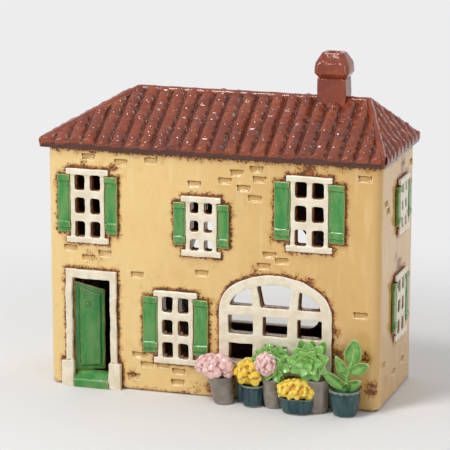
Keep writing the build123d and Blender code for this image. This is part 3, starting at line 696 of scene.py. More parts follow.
band = 1.8 * mm
add_oxide(0.9 * np.exp(-(wall_top - level) / band))
add_oxide(0.6 * np.exp(-level / band))
add_splashes(front_splashes, across, 0.82, front_side)
add_splashes(end_splashes, before, 0.66, on_end)
for name in front_windows:
    low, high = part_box(f"{name}_window_frame")
    on_lintel = front_side & (across > low.x) & (across < high.x)
    pooled = np.exp(-(((level - high.z - 0.5 * mm) / (1.3 * mm)) ** 2))
    add_oxide(0.85 * pooled, on_lintel)
paint(skin, "oxide", np.clip(oxide, 0, 1))
print("oxide covers", round(100 * float((oxide > 0.5).mean()), 1), "% of the points")

# %% [markdown]
# Round each brick mark the stick pushed up a low lip of clay, higher below the mark than above it, and
# the stain settled in a ring at the mark's edge. The ring is painted darker towards the mark's top edge,
# which is painted shade.

# %% Lips, stains and painted shade of the brick marks
lift, mark_stain_and_shade = np.zeros(len(wall_points)), np.zeros(len(wall_points))
soft_edge = 0.5 * mm
for place, turn, _ in marks:
    run, face_gap = across - place.x, before - place.y
    if turn:
        run, face_gap = face_gap, run
    edge = np.maximum(np.abs(run) - brick_width / 2, np.abs(level - place.z) - brick_height / 2)
    at_face = np.abs(face_gap) < 1.6 * mm
    # Towards the mark's top edge the ring is stronger: painted shade under the top edge
    top_shade = np.clip((level - place.z) / brick_height + 0.6, 0.1, 1)
    ring = np.exp(-(((edge + 0.2 * mm) / soft_edge) ** 2))
    mark_stain_and_shade = np.maximum(mark_stain_and_shade, np.where(at_face, ring * top_shade, 0))
    mark_stain_and_shade = np.maximum(mark_stain_and_shade, np.where(at_face & (edge < 0), 0.3, 0))
    lip = np.where(level < place.z, 0.42, 0.2) * mm
    lift = np.maximum(lift, np.where(at_face & (edge > 0), lip * np.exp(-edge / soft_edge), 0))
move_points(skin, wall_points + normals(skin) * lift[:, None])
paint(skin, "mark_stain_and_shade", np.clip(mark_stain_and_shade, 0, 1))
print("highest lip", round(lift.max() / mm, 2), "mm")

# %% [markdown]
# The reveals of the windows and the door, and the inner faces, get painted shade that darkens them the
# deeper they lie. A point belongs to a reveal by its depth behind the wall's face, apart from the
# house's own rounded corners and its foot.

# %% Paint the depth of the reveals, for their painted shade
depth_in = np.minimum(wall_half_length - np.abs(across), wall_half_depth - np.abs(before))
corner = 5.4 * mm
rounded = (np.abs(across) > wall_half_length - corner) & (np.abs(before) > wall_half_depth - corner)
reveal = np.clip((depth_in - 1.3 * mm) / (4.2 * mm), 0, 1)
reveal[(rounded & (depth_in < 4.6 * mm)) | (level < 2.2 * mm)] = 0
paint(skin, "reveal", reveal)

# %% [markdown]
# Each wall is a copy of the whole skin, cut along upright planes: one through the middle of the house,
# and one through the seam at each of its corners. Neighbours share these mitre planes, so no gap shows
# between them.

# %% Cut the skin apart at the mitres
seam_x, seam_y = wall_half_length - wall_thickness, wall_half_depth - wall_thickness


def cut_out(name, *cuts):
    """A copy of the skin, cut off beyond each plane, given by a point and the direction to drop."""
    piece = skin.copy()
    piece.data = skin.data.copy()
    piece.name = name
    bpy.context.collection.objects.link(piece)
    for point, drop in cuts:
        cut_off(piece, point, drop)
    return piece


def mitre(side_x, side_y):
    """The upright plane through one corner's seam, facing away from the front or back wall."""
    return ((side_x * seam_x, side_y * seam_y, 0), (side_x, -side_y, 0))


def flipped(cut):
    """The same plane, dropping the other side."""
    return cut[0], tuple(-part for part in cut[1])


wall_cuts = {
    "front_wall": [((0, 0, 0), (0, 1, 0)), mitre(-1, -1), mitre(1, -1)],
    "back_wall": [((0, 0, 0), (0, -1, 0)), mitre(-1, 1), mitre(1, 1)],
    "left_wall": [((0, 0, 0), (1, 0, 0)), flipped(mitre(-1, -1)), flipped(mitre(-1, 1))],
    "right_wall": [((0, 0, 0), (-1, 0, 0)), flipped(mitre(1, -1)), flipped(mitre(1, 1))],
}
for name, cuts in wall_cuts.items():
    dress(cut_out(f"{name}_clay", *cuts), wall, "wall_glaze", name)
bpy.data.objects.remove(skin)

floor_slab = soften(solid_copy("base_slab", "base_slab_clay"), 0.9 * mm, 2, bulge=0.3 * mm)
dress(floor_slab, inside, "inside_glaze", "base_slab")

# %% [markdown]
# ## Roof
# Each slope is a slab with rows of barrel tiles pressed one by one, so rows wander and tiles differ in
# length. One tile is modelled from a disc that is pulled out in rings: a fat round lower lip, then a
# taper to the upper end, which the next tile covers.

# %% One barrel tile
eave_z, ridge_z = 130.5 * mm, 154.7 * mm
eave_y = 37 * mm
eave_left, eave_right = -93.5 * mm, 92 * mm
ridge_left, ridge_right = -51 * mm, 74 * mm
tile_pitch, tile_course, tile_crown = 7.7 * mm, 4.6 * mm, 3.6 * mm


def barrel_tile():
    """A round tile along +Y: its fat lower lip near the origin, its upper end narrower and lower."""
    tile = disc("tile", 2.5 * mm, (0, 0, 0), 12, turn=(math.pi / 2, 0, 0))
    rings = ((0.3, 1.32), (0.5, 1.28), (0.8, 1.1), (1.6, 1.0), (2.0, 0.9), (2.2, 0.86))
    pull_rings(tile, "Y", (0, 0, 0), [(rise * mm, scale) for rise, scale in rings])
    return tile


tile = barrel_tile()
tile_width = max(abs(points(tile)[:, 0]))
print("tile", len(tile.data.polygons), "faces,", round(tile_width / mm, 2), "mm half wide")

# %% [markdown]
# The tiles' places follow the slope: columns side by side along the eave, and in each column one tile
# after the other up to the ridge. A fixed random jitter lets each tile lie, turn and swell a little by
# itself. No tile is laid where the chimney stands.

# %% Rows of tiles up a slope
jitter = random.Random(5)
stack_low, stack_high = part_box("chimney_stack")
stack_gap = 1.2 * mm


def tile_rows(name, start, end, reach):
    """Rows of tiles over a slope whose eave runs from start to end and which rises over a plan reach."""
    eave = Vector((*end, eave_z)) - Vector((*start, eave_z))
    along = eave.normalized()
    outward = Vector((along.y, -along.x, 0))
    up = (outward * -reach + Vector((0, 0, ridge_z - eave_z))).normalized()
    out = along.cross(up)
    basis = Matrix((along, up, out)).transposed().to_4x4()
    slope_length = math.hypot(reach, ridge_z - eave_z)
    columns = round(eave.length / tile_pitch)
    pitch = eave.length / columns
    places = []
    for column in range(columns):
        shift, y = jitter.uniform(-0.3, 0.3) * mm, jitter.uniform(-1.1, -0.7) * mm
        while y < slope_length:
            x = (column + 0.5) * pitch + shift + jitter.uniform(-0.25, 0.25) * mm
            origin = Vector((*start, eave_z)) + along * x + up * y - out * 0.35 * mm
            wide = 0.5 * pitch / tile_width * jitter.uniform(0.98, 1.07)
            longer = jitter.uniform(0.95, 1.15)
            high = tile_crown / tile_width * jitter.uniform(0.85, 1.1)
            turn = Matrix.Rotation(jitter.uniform(-0.07, 0.07), 4, "Z")
            tilt = Matrix.Rotation(jitter.uniform(-0.03, 0.02), 4, "X")
            in_line = stack_low.x - stack_gap < origin.x < stack_high.x + stack_gap
            if not (in_line and abs(origin.y) < stack_high.y):
                size = Matrix.Diagonal((wide, longer, high, 1))
                places.append(Matrix.Translation(origin) @ basis @ (turn @ tilt) @ size)
            y += tile_course * jitter.uniform(0.78, 1.25)
    return copies(name, tile, places)


# %% [markdown]
# The rows are trimmed plumb at the hips, the ridge and the eave, joined with the CAD slab, and remeshed,
# which melts the tiles into it as a thick glaze does. Cap strips cover the cut ends at the hips and the
# ridge, so there the rows stop a little short. The height above the slab's plane is painted for the
# glaze.

# %% Trim the rows and melt them into their slab
strip_clearance, eave_overhang = 1.5 * mm, 1.1 * mm
right_reach, left_reach = eave_right - ridge_right, ridge_left - eave_left

# Each slope: the ends of its eave, its reach in plan, and the X of the ridge above each end
slopes = {
    "front": ((eave_left, -eave_y), (eave_right, -eave_y), eave_y, ridge_left, ridge_right),
    "right": ((eave_right, -eave_y), (eave_right, eave_y), right_reach, ridge_right, ridge_right),
    "back": ((eave_right, eave_y), (eave_left, eave_y), eave_y, ridge_right, ridge_left),
    "left": ((eave_left, eave_y), (eave_left, -eave_y), left_reach, ridge_left, ridge_left),
}


def trim(rows, start, end, top_start, top_end):
    """Cut the rows plumb along the hips, the ridge and the eave, and flat under the slab's face."""
    middle = (Vector((*start, 0)) + Vector((*end, 0))) / 4 + Vector(((top_start + top_end) / 4, 0, 0))
    lines = [
        (start, (top_start, 0), strip_clearance),
        (end, (top_end, 0), strip_clearance),
        (start, end, -eave_overhang),
    ]
    if top_start != top_end:
        lines.append(((top_start, 0), (top_end, 0), strip_clearance))
    for first, second, inset in lines:
        run = Vector((*second, 0)) - Vector((*first, 0))
        drop = Vector((run.y, -run.x, 0)).normalized()
        if (middle - Vector((*first, 0))).dot(drop) > 0:
            drop = -drop
        cut_off(rows, Vector((*first, 0)) - drop * inset, drop)
    cut_off(rows, (0, 0, eave_z - 0.3 * mm), (0, 0, -1))


for name, (start, end, reach, top_start, top_end) in slopes.items():
    rows = tile_rows(f"{name}_tiles", start, end, reach)
    trim(rows, start, end, top_start, top_end)
    slab = join(f"{name}_roof_slab_clay", solid_copy(f"{name}_roof_slab", f"{name}_slab"), rows)
    soften(slab, 0.42 * mm, 2, sway=0.5 * mm)
    apply(slab, "DECIMATE", ratio=0.6)
    run = Vector((*end, 0)) - Vector((*start, 0))
    uphill = Vector((-run.y, run.x, 0)).normalized()
    slope_out = (Vector((0, 0, reach)) - uphill * (ridge_z - eave_z)).normalized()
    rise = (points(slab) - np.array((*start, eave_z))) @ np.array(slope_out)
    paint(slab, "crown", np.clip(rise / tile_crown, 0, 1))
    dress(slab, roof, "roof_glaze", f"{name}_roof_slab")
bpy.data.objects.remove(tile)

# %% [markdown]
# The cap strips are plain rolls of clay, pressed over the hips and the ridge. The CAD strips are right in
# size, so they are only softened, with a wander that makes them look laid by hand.

# %% Cap strips
hip_caps = [f"{side}_{end}_hip_cap" for side in ("front", "back") for end in ("left", "right")]
for name in ("ridge_cap", *hip_caps):
    strip = soften(solid_copy(name, f"{name}_clay"), 0.4 * mm, 8, sway=0.6 * mm)
    paint(strip, "crown", np.ones(len(strip.data.vertices)))
    dress(strip, roof, "roof_glaze", name)

# %% [markdown]
# The chimney was shaped with wet fingers: its stack bulges a little and its cap a lot, more at the
# corners of the square than at its sides. The bulge is a formula of the level and the direction from the
# flue, and it leaves the flue itself alone.

# %% Chimney
cap_low, cap_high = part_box("chimney_cap")
flue = (cap_low + cap_high) / 2
cap_foot = 2 * mm
for name, rounds, belly, foot_rise in (("chimney_stack", 6, 0.02, 0), ("chimney_cap", 14, 0.11, cap_foot)):
    piece = soften(solid_copy(name, f"{name}_clay"), 0.4 * mm, rounds, sway=0.4 * mm)
    low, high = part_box(name)
    foot = low.z + foot_rise
    places = points(piece)
    east, north = places[:, 0] - flue.x, places[:, 1] - flue.y
    round_off = 1 + 0.3 * np.cos(4 * np.arctan2(north, east))
    rise = np.clip((places[:, 2] - foot) / (high.z - foot), 0, 1)
    outer = np.clip(np.hypot(east, north) / (5 * mm) - 0.8, 0, 1)
    swell = 1 + belly * round_off * np.sin(np.pi * rise) * outer
    places[:, 0], places[:, 1] = flue.x + east * swell, flue.y + north * swell
    move_points(piece, places)
    paint(piece, "crown", np.ones(len(places)))
    dress(piece, roof, "roof_glaze", name)

# %% [markdown]
# ## Window frames, shutters and the door
# The frames are thin slabs with the panes cut out, so their bars are flat in the middle and round at the
# edges. The CAD solids have the measured outlines, and softening gives them the round edges and a slight
# wander. Each vertex also carries how close it lies to the wall, because oxide gathers there in the
# glaze.

# %% Frames, shutters and the door
def wall_contact(piece):
    """Paint how close each vertex lies to the face of the wall behind it."""
    places = points(piece)
    off = np.maximum(np.abs(places[:, 0]) - wall_half_length, np.abs(places[:, 1]) - wall_half_depth)
    paint(piece, "contact", np.clip(1 - off / (1.5 * mm), 0, 1))


def applied_piece(node, glaze, slot, voxel, rounds, sway):
    """A thin piece that was pressed on the wall: its voxels and sway are in mm."""
    piece = soften(solid_copy(node, f"{node}_clay"), voxel * mm, rounds, sway=sway * mm)
    wall_contact(piece)
    return dress(piece, glaze, slot, node)


for name in (*front_windows, "right_upper", "right_lower", "left_upper", "left_lower"):
    applied_piece(f"{name}_window_frame", cream, "cream_glaze", 0.34, 7, 0.5)
    applied_piece(f"{name}_shutters", green, "green_glaze", 0.32, 4, 0.6)

applied_piece("arched_window_frame", cream, "cream_glaze", 0.4, 6, 0.7)
applied_piece("door_surround", cream, "cream_glaze", 0.4, 8, 0.8)
applied_piece("door_step", green, "green_glaze", 0.35, 5, 0.4)
applied_piece("door_leaf", green, "green_glaze", 0.35, 5, 0.5)

# The knob is so small that it bends sharply all over, so its bend is cleared and it stays plain green
knob = applied_piece("door_knob", green, "green_glaze", 0.2, 2, 0.0)
paint(knob, "bend", np.zeros(len(knob.data.vertices)))

# %% [markdown]
# ## Flower pots
# The pots were thrown or rolled, and pressed against the wall while wet. Each starts as a disc for its
# foot, which is pulled up in rings to the rim, turned in over the rim and pushed down inside. Flutes are
# a wave round the pot, deepest half way up. A pot of the front row can also lean or be flattened.

# %% Throwing a pot
def pot_outline(foot, top, height, rim, belly):
    """The levels and radii of a pot in mm, from its foot up over the rim and down inside."""
    outline = [(0.0, foot * 0.92), (0.5, foot)]
    for share in (0.2, 0.4, 0.6, 0.8):
        bulge = belly * foot * math.sin(math.pi * share)
        outline.append((height * share, foot + (top - foot) * share + bulge))
    neck = top if rim else top * 0.99
    outline += [(height - max(rim * 2.6, 0.9), neck), (height - max(rim * 2.2, 0.5), top + rim)]
    outline += [(height - 0.2, top + rim), (height, top + rim * 0.4)]
    outline += [(height - 0.1, top - 0.9), (height - 0.7, top - 1.3), (height - 0.8, top * 0.5)]
    return outline


def throw_pot(
    name, centre, foot, top, height, rim=0.0, flutes=0, flute_depth=0.0, flat=1.0, belly=0.04, lean=0.0
):
    """A pot on the ground: sizes in mm, flutes all round, flattened by a factor, leaning along X."""
    base = Vector((centre[0] * mm, centre[1] * mm, 0))
    pot = thrown(name, pot_outline(foot, top, height, rim, belly), base, 64)
    places = points(pot)
    east, north = places[:, 0] - base.x, places[:, 1] - base.y
    high = np.clip(places[:, 2] / (height * mm), 0, 1)
    outer = np.hypot(east, north) > foot * 0.6 * mm
    wave = np.cos(flutes * np.arctan2(north, east))
    swell = 1 + flute_depth * wave * outer * np.sin(np.pi * np.clip(high, 0.08, 0.9))
    places[:, 0] = base.x + east * swell + lean * mm * (high - 0.5)
    places[:, 1] = base.y + north * swell * flat
    move_points(pot, places)
    apply(pot, "SUBSURF", levels=1, render_levels=1)
    apply(pot, "DISPLACE", texture=mid_clouds, strength=0.35 * mm, mid_level=0.5)
    smooth_shade(pot)
    return pot


# Each pot: its glaze, its place on the ground, the radii of its foot and top, and its height, in mm
pots = {
    "first": (grey, "grey_glaze", (8.0, -41.4), 5.2, 6.4, 14.6),
    "second": (teal, "teal_glaze", (24.9, -41.2), 5.3, 6.2, 11.8),
    "third": (grey, "grey_glaze", (35.5, -40.4), 4.8, 5.7, 15.6),
    "fourth": (teal, "teal_glaze", (50.2, -47.6), 7.3, 8.9, 8.5),
    "fifth": (grey, "grey_glaze", (58.6, -41.4), 6.0, 6.7, 17.4),
    "sixth": (teal, "teal_glaze", (74.4, -42.6), 5.9, 7.8, 13.8),
    "small": (teal, "teal_glaze", (17.6, -38.6), 1.9, 2.3, 11.2),
}
pot_forms = {
    "first": {"lean": -2.4},
    "second": {"rim": 0.5, "flutes": 14, "flute_depth": 0.035},
    "third": {"lean": -0.8},
    "fourth": {"rim": 0.3, "flutes": 22, "flute_depth": 0.02, "flat": 0.6},
    "fifth": {"flutes": 9, "flute_depth": 0.06},
    "sixth": {"rim": 0.6, "flutes": 16, "flute_depth": 0.04, "belly": 0.1},
    "small": {},
}
for name, (glaze, slot, *sizes) in pots.items():
    stands_for = [f"{name}_pot"] if f"{name}_pot" in nodes else []
    dress(throw_pot(f"{name}_pot_clay", *sizes, **pot_forms[name]), glaze, slot, *stands_for)

# %% [markdown]
# ## Blossoms
# The flowers are masses of small petals pinched from clay. One petal is modelled from a sphere that is
# flattened and narrowed at its foot. Its copies cover a dome, lying like scales or standing on edge as a
# ruffle, and a remesh melts them together. The golden angle between one petal and the next spreads them
# evenly.

# %% Directions over a dome, and the plain mass under it
golden_angle = 2.39996


def over_dome(half, count, low, chance, wobble):
    """Spread directions over an ellipsoid from its top down to a low height, which is -1 at its foot.

    Each comes as its place on a ball of radius 1 and as the direction out of the ellipsoid there.
    """
    for step in range(count):
        height = 1 - (1 - low) * (step + 0.5) / count
        turn = step * golden_angle + chance.uniform(-wobble, wobble)
        ring = math.sqrt(max(0.0, 1 - height * height))
        unit = Vector((ring * math.cos(turn), ring * math.sin(turn), height))
        yield unit, Vector([u / h for u, h in zip(unit, half)]).normalized()


def core(name, centre, half, share):
    """An ellipsoid with a share of the half sizes in mm, for what grows over it."""
    settings = {"segments": 24, "ring_count": 14, "radius": 1}
    mass = primitive(bpy.ops.mesh.primitive_uv_sphere_add, name, **settings)
    size = Matrix.Diagonal((*[h * share * mm for h in half], 1))
    mass.data.transform(Matrix.Translation(Vector(centre) * mm) @ size)
    return mass


# %% [markdown]
# A petal that lies flat points down the dome, and one that stands points out of it, so one number between
# 0 and 1 turns a mass of scales into a ruffle. The remesh is fine enough to keep each petal's edge.

# %% Petals melted into a blossom
def single_petal():
    """A petal of radius 1, flattened, cupped and narrow at its foot, which points to -Y."""
    settings = {"segments": 10, "ring_count": 6, "radius": 1}
    petal = primitive(bpy.ops.mesh.primitive_uv_sphere_add, "petal", **settings)
    places = points(petal)
    along = (places[:, 1] + 1) / 2
    places[:, 0] *= 0.55 + 0.45 * along
    places[:, 2] = places[:, 2] * 0.55 + 0.2 * along**2
    move_points(petal, places)
    return petal


def petal_places(centre, half, count, size, stand, seed):
    """Places over an ellipsoid in mm: stand is 0 for petals that lie flat and 1 for petals on edge."""
    chance = random.Random(seed)
    places = []
    for unit, out in over_dome(half, count, -0.45, chance, 0.25):
        place = Vector([c + h * u for c, h, u in zip(centre, half, unit)]) * mm
        side = out.orthogonal().normalized()
        side.rotate(Matrix.Rotation(chance.uniform(0, 2 * math.pi), 3, out))
        down = (out * 0.5 - Vector((0, 0, 1)) + side * 0.6).normalized()
        tip = (down - out * down.dot(out)).normalized()
        tip = (tip * (1 - stand) + out * stand).normalized()
        across = tip.cross(out if stand < 0.5 else side).normalized()
        face = across.cross(tip).normalized()
        basis = Matrix((across, tip, face)).transposed().to_4x4()
        scale = size * mm * chance.uniform(0.65, 1.3)
        places.append(Matrix.Translation(place) @ basis @ Matrix.Diagonal((scale, scale, scale, 1)))
    return places


def blossom(name, centre, half, count, size, stand, seed):
    """A closed mass of petals round a plain core."""
    mass = core(name, centre, half, 0.93)
    petals = copies(f"{name}_petals", petal, petal_places(centre, half, count, size, stand, seed))
    return soften(join(name, mass, petals), 0.38 * mm, 5)


petal = single_petal()

# Each blossom: its glaze, its middle and half sizes in mm, the number and size of its petals, how far they
# stand up, and the seed of their jitter
blossoms = {
    "first_pot_blossom": (pink, "pink_glaze", (4.4, -41.8, 19.0), (9.2, 6.2, 5.8), 74, 2.4, 0.3, 1),
    "third_pot_blossom": (pink, "pink_glaze", (33.2, -46.0, 23.4), (5.0, 3.0, 6.3), 70, 1.5, 0.5, 2),
    "second_pot_blossom": (yellow, "yellow_glaze", (23.0, -42.6, 17.6), (5.6, 5.2, 6.8), 32, 2.8, 0.55, 3),
    "fourth_pot_blossom": (yellow, "yellow_glaze", (49.4, -47.8, 12.0), (8.6, 4.6, 5.2), 70, 2.1, 0.55, 4),
}
for name, (glaze, slot, *form) in blossoms.items():
    dress(blossom(f"{name}_clay", *form), glaze, slot, name)

# %% [markdown]
# ## Leaves
# A leaf is a grid pulled into a pointed outline, cupped, with a groove for its midrib, then given a
# thickness and rounded by a subdivision. Its UV map keeps across and along, so the glaze can leave the
# rim and the rib pale.

# %% One leaf
def single_leaf():
    """A leaf of unit length along +Y and unit width, its face towards +Z."""
    settings = {"x_subdivisions": 8, "y_subdivisions": 10, "size": 1}
    leaf = primitive(bpy.ops.mesh.primitive_grid_add, "leaf", **settings)
    places = points(leaf)
    across, along = places[:, 0].copy(), places[:, 1] + 0.5
    width = np.sin(np.pi * along**0.8) ** 0.7 * (1 - 0.1 * along)
    width = np.maximum(width, 0.06 + 0.16 * (along < 0.2))
    groove = 0.05 * np.exp(-((across / 0.09) ** 2)) * width
    places[:, 0] = across * width
    places[:, 1] = along
    places[:, 2] = 0.5 * (across * width) ** 2 - groove + 0.16 * along**2
    move_points(leaf, places)
    apply(leaf, "SOLIDIFY", thickness=0.11, offset=-1)
    apply(leaf, "SUBSURF", levels=1, render_levels=1)
    smooth_shade(leaf)
    return leaf


def leaf_place(base, tip, width, face=(0, -1, 0), thick=1.0):
    """The matrix that lays the unit leaf from base to tip, in mm, with its face turned as said."""
    base, tip = Vector(base) * mm, Vector(tip) * mm
    along = (tip - base).normalized()
    out = Vector(face).normalized()
    across = along.cross(out).normalized()
    out = across.cross(along).normalized()
    basis = Matrix((across, along, out)).transposed().to_4x4()
    size = (width * mm, (tip - base).length, thick * 8 * mm, 1)
    return Matrix.Translation(base) @ basis @ Matrix.Diagonal(size)


def leaf_glaze(name, fresh, pale, deep):
    """Fresh green that breaks to cream along each leaf's rim and rib, read from the leaf's own UV map."""
    glaze = Glaze(name)
    drift = glaze.noise(3 * mm, 3)
    grain = glaze.noise(0.7 * mm, 2)
    uv = glaze.add("ShaderNodeTexCoord", output="UV")
    off, along = abs(glaze.part(uv, 0) - 0.5), glaze.part(uv, 1)
    base = glaze.blend(glaze.step(drift, 0.36, 0.64), srgb(*fresh), srgb(*pale))
    base = glaze.blend(glaze.step(off + (grain - 0.5) * 0.08, 0.2, 0.36) * 0.4, base, srgb(*deep))
    rim = glaze.step(off + (grain - 0.5) * 0.16, 0.41, 0.5)
    tip = glaze.step(along + (grain - 0.5) * 0.1, 0.9, 0.98)
    rib = glaze.step(off + (grain - 0.5) * 0.04, 0.08, 0.03) * glaze.step(along, 0.95, 0.5)
    base = glaze.blend(rim * 0.5 + tip * 0.5, base, srgb(200, 208, 140))
    base = glaze.blend(rib * 0.45, base, srgb(180, 204, 128))
    return glaze.fire(base, 0.09 + grain * 0.05, drift)


leaf = single_leaf()
veined = leaf_glaze("veined_leaf_glaze", (116, 182, 84), (148, 204, 110), (74, 144, 58))
veined_dark = leaf_glaze("veined_dark_leaf_glaze", (92, 146, 60), (124, 176, 84), (54, 112, 42))

# %% [markdown]
# The third pot's blossom sits in a wreath of small leaves. They lie like scales over a plain mass of the
# same glaze, with their tips lifted, so that no gap between them shows the wall.

# %% Small leaves round the third pot's blossom
def leaf_cloud(centre, half, count, length, width, seed):
    """Leaves like scales over an ellipsoid, their tips lifted and pointing away from its middle."""
    chance = random.Random(seed)
    places = []
    for unit, out in over_dome(half, count, -0.75, chance, 0.3):
        base = Vector([c + h * u * 0.8 for c, h, u in zip(centre, half, unit)])
        stray = Vector((chance.uniform(-0.4, 0.4), 0, chance.uniform(-0.4, 0.4)))
        away = Vector((unit.x, 0, unit.z)) + stray
        tip = (away - out * away.dot(out)).normalized() * 0.8 + out * 0.6
        grow = chance.uniform(0.8, 1.2)
        places.append(leaf_place(base, base + tip * length * grow, width * grow, out + tip * -0.4, 0.8))
    return places


wreath_centre, wreath_half = (34.6, -41.4, 22.8), (8.4, 4.2, 8.6)
heart = core("wreath_heart", wreath_centre, wreath_half, 0.92)
smooth_shade(heart)
cloud = copies("third_leaf_cloud", leaf, leaf_cloud(wreath_centre, wreath_half, 64, 4.6, 4.2, 7))
dress(join("third_pot_leaves_clay", heart, cloud), veined, "leaf_glaze", "third_pot_leaves")

# %% [markdown]
# The fifth pot holds a rosette that faces the viewer: a wide ring of leaves, a smaller one before it, a
# bud of four, and three leaves that stand up behind. Each leaf is aimed from the rosette's middle, and
# the CAD solid of the plant is drawn in to a stalk behind them.

# %% The rosette in the fifth pot
def rosette_places(centre, chance):
    """The places of all the leaves of the rosette, in mm."""
    places = []

    def ray(turn):
        return Vector((math.cos(turn), 0, math.sin(turn)))

    rings = ((9, 11.4, 7.8, 1.0, 0.4), (6, 7.4, 6.2, 2.8, 0.1))
    for index, (count, reach, width, out_by, first_turn) in enumerate(rings):
        for step in range(count):
            aim = ray(2 * math.pi * (step + first_turn) / count + chance.uniform(-0.08, 0.08))
            base = centre + aim * 0.8 + Vector((0, -0.5 - 0.9 * index, 0))
            tip = centre + aim * reach * chance.uniform(0.92, 1.06) + Vector((0, -out_by, 0))
            places.append(leaf_place(base, tip, width))
    for step in range(4):
        aim = ray(2 * math.pi * (step + 0.4) / 4)
        base = centre + aim * 0.3 + Vector((0, -1.8, 0))
        places.append(leaf_place(base, base + aim * 3.4 + Vector((0, -1.8, 0)), 3.0, thick=0.8))
    for shift in (-3.4, 0.6, 4.6):
        base = centre + Vector((shift, 3.4, 3.0))
        places.append(leaf_place(base, base + Vector((shift * 0.6, -1.0, 8.2)), 5.4))
    return places


def draw_in(stalk, middle):
    """Draw the plant's solid in to a stalk above the pot, and push it back behind the leaves."""
    places = points(stalk)
    reach = np.hypot(places[:, 0] - middle[0], places[:, 2] - middle[2])
    shrink = np.minimum(1, 4.2 * mm / np.maximum(reach, 1e-9))
    above_pot = places[:, 2] > 17 * mm
    for axis in (0, 2):
        off = places[above_pot, axis] - middle[axis]
        places[above_pot, axis] = middle[axis] + off * shrink[above_pot]
    places[:, 1] = np.maximum(places[:, 1], middle[1] - 0.4 * mm)
    move_points(stalk, places)


rosette_centre = Vector((55.4, -42.6, 26.4))
rosette = copies("fifth_pot_rosette", leaf, rosette_places(rosette_centre, random.Random(9)))
stalk = soften(solid_copy("fifth_pot_leaves", "rosette_stalk"), 0.45 * mm, 2)
draw_in(stalk, np.array(rosette_centre) * mm)
dress(stalk, leaf_green, "leaf_glaze", "fifth_pot_leaves")
dress(rosette, veined, "leaf_glaze")

# %% [markdown]
# The sixth pot holds a plant with a few broad leaves on a stem that bends to the right. Its leaves are
# listed as shares of the plant's height, because their places in the photograph are what makes the plant.

# %% The broad-leaved plant in the sixth pot
plant_foot, plant_size = Vector((74.42, -42.7, 12.2)), 28.6

# Each leaf: its base and its tip across and up, and its width, as shares, and how far out its tip is in mm
blades = (
    ((0.1, 0.5), (0.2, 1.0), 0.34, -0.6),
    ((0.05, 0.22), (-0.17, 0.66), 0.22, -0.5),
    ((0.1, 0.36), (0.44, 0.56), 0.22, -0.6),
    ((0.0, 0.04), (-0.42, 0.38), 0.22, -1.0),
    ((0.0, 0.05), (0.31, 0.25), 0.2, -1.6),
    ((0.0, 0.02), (0.06, 0.2), 0.12, -1.8),
    ((0.04, 0.3), (-0.1, 0.4), 0.1, -1.0),
)
places = []
for (base_x, base_z), (tip_x, tip_z), width, out_by in blades:
    base = plant_foot + Vector((base_x, 0, base_z)) * plant_size
    tip = plant_foot + Vector((tip_x, 0, tip_z)) * plant_size + Vector((0, out_by, 0))
    places.append(leaf_place(base, tip, width * plant_size))
leaves = copies("sixth_pot_leaves_clay", leaf, places)

stem_foot = plant_foot * mm - Vector((0.6, 0, 2)) * mm
stem_rings = ((3, 0.9), (4, 0.92), (4, 0.92), (4, 0.9), (3.4, 0.8))
stem_height = sum(rise for rise, _ in stem_rings) * mm
stem_bend = 3.9 * mm
stem = disc("sixth_pot_stem", 1.2 * mm, stem_foot, 12)
pull_rings(stem, "Z", stem_foot, [(rise * mm, scale) for rise, scale in stem_rings])
places = points(stem)
places[:, 0] += ((places[:, 2] - stem_foot.z) / stem_height) ** 1.4 * stem_bend
move_points(stem, places)
apply(stem, "SUBSURF", levels=1, render_levels=1)
smooth_shade(stem)
dress(leaves, veined_dark, "leaf_glaze", "sixth_pot_leaves")
dress(stem, leaf_green, "leaf_glaze")
for piece in (petal, leaf):
    bpy.data.objects.remove(piece)

# %% [markdown]
# ## The tealight
# A common tealight: a pressed aluminium cup with a crimped side and a rolled rim, wax that dips round the
# wick, and a waxed cotton wick. The cup is bare metal with fine scuffs, the wax lets a little light in,
# and the wick has a slanting wave for its strands.

# %% Metal, wax and cotton
def cup_metal():
    glaze = Glaze("cup_metal")
    scuffs = glaze.noise(1.4 * mm, 3, (1.0, 1.0, 0.15))
    base = glaze.blend(glaze.step(scuffs, 0.3, 0.7), srgb(204, 204, 206), srgb(228, 228, 228))
    return glaze.fire(base, 0.24 + scuffs * 0.2, scuffs, 0.03 * mm, Metallic=1.0)


def wax_white():
    glaze = Glaze("wax")
    cloud = glaze.noise(4 * mm, 3)
    base = glaze.blend(cloud, srgb(238, 234, 222), srgb(247, 245, 238))
    glow = {"Subsurface Weight": 0.25, "Subsurface Scale": 0.004}
    return glaze.fire(base, 0.35 + cloud * 0.15, cloud, 0.06 * mm, **glow)


def cotton():
    glaze = Glaze("wick")
    strands = {"Vector": glaze.place, "Scale": 900.0}
    strands = glaze.add("ShaderNodeTexWave", {"bands_direction": "DIAGONAL"}, strands)
    base = glaze.blend(strands, srgb(206, 198, 178), srgb(240, 235, 220))
    return glaze.fire(base, 0.85, strands, 0.06 * mm)


metal, paraffin, cotton_braid = cup_metal(), wax_white(), cotton()

# %% [markdown]
# Cup and wax are thrown on the cup's axis like the pots, and the crimp is a fine wave round the cup. The
# wick bends a little above the wax, as a cut one does. The tealight is loose, so it rides on its own
# body.

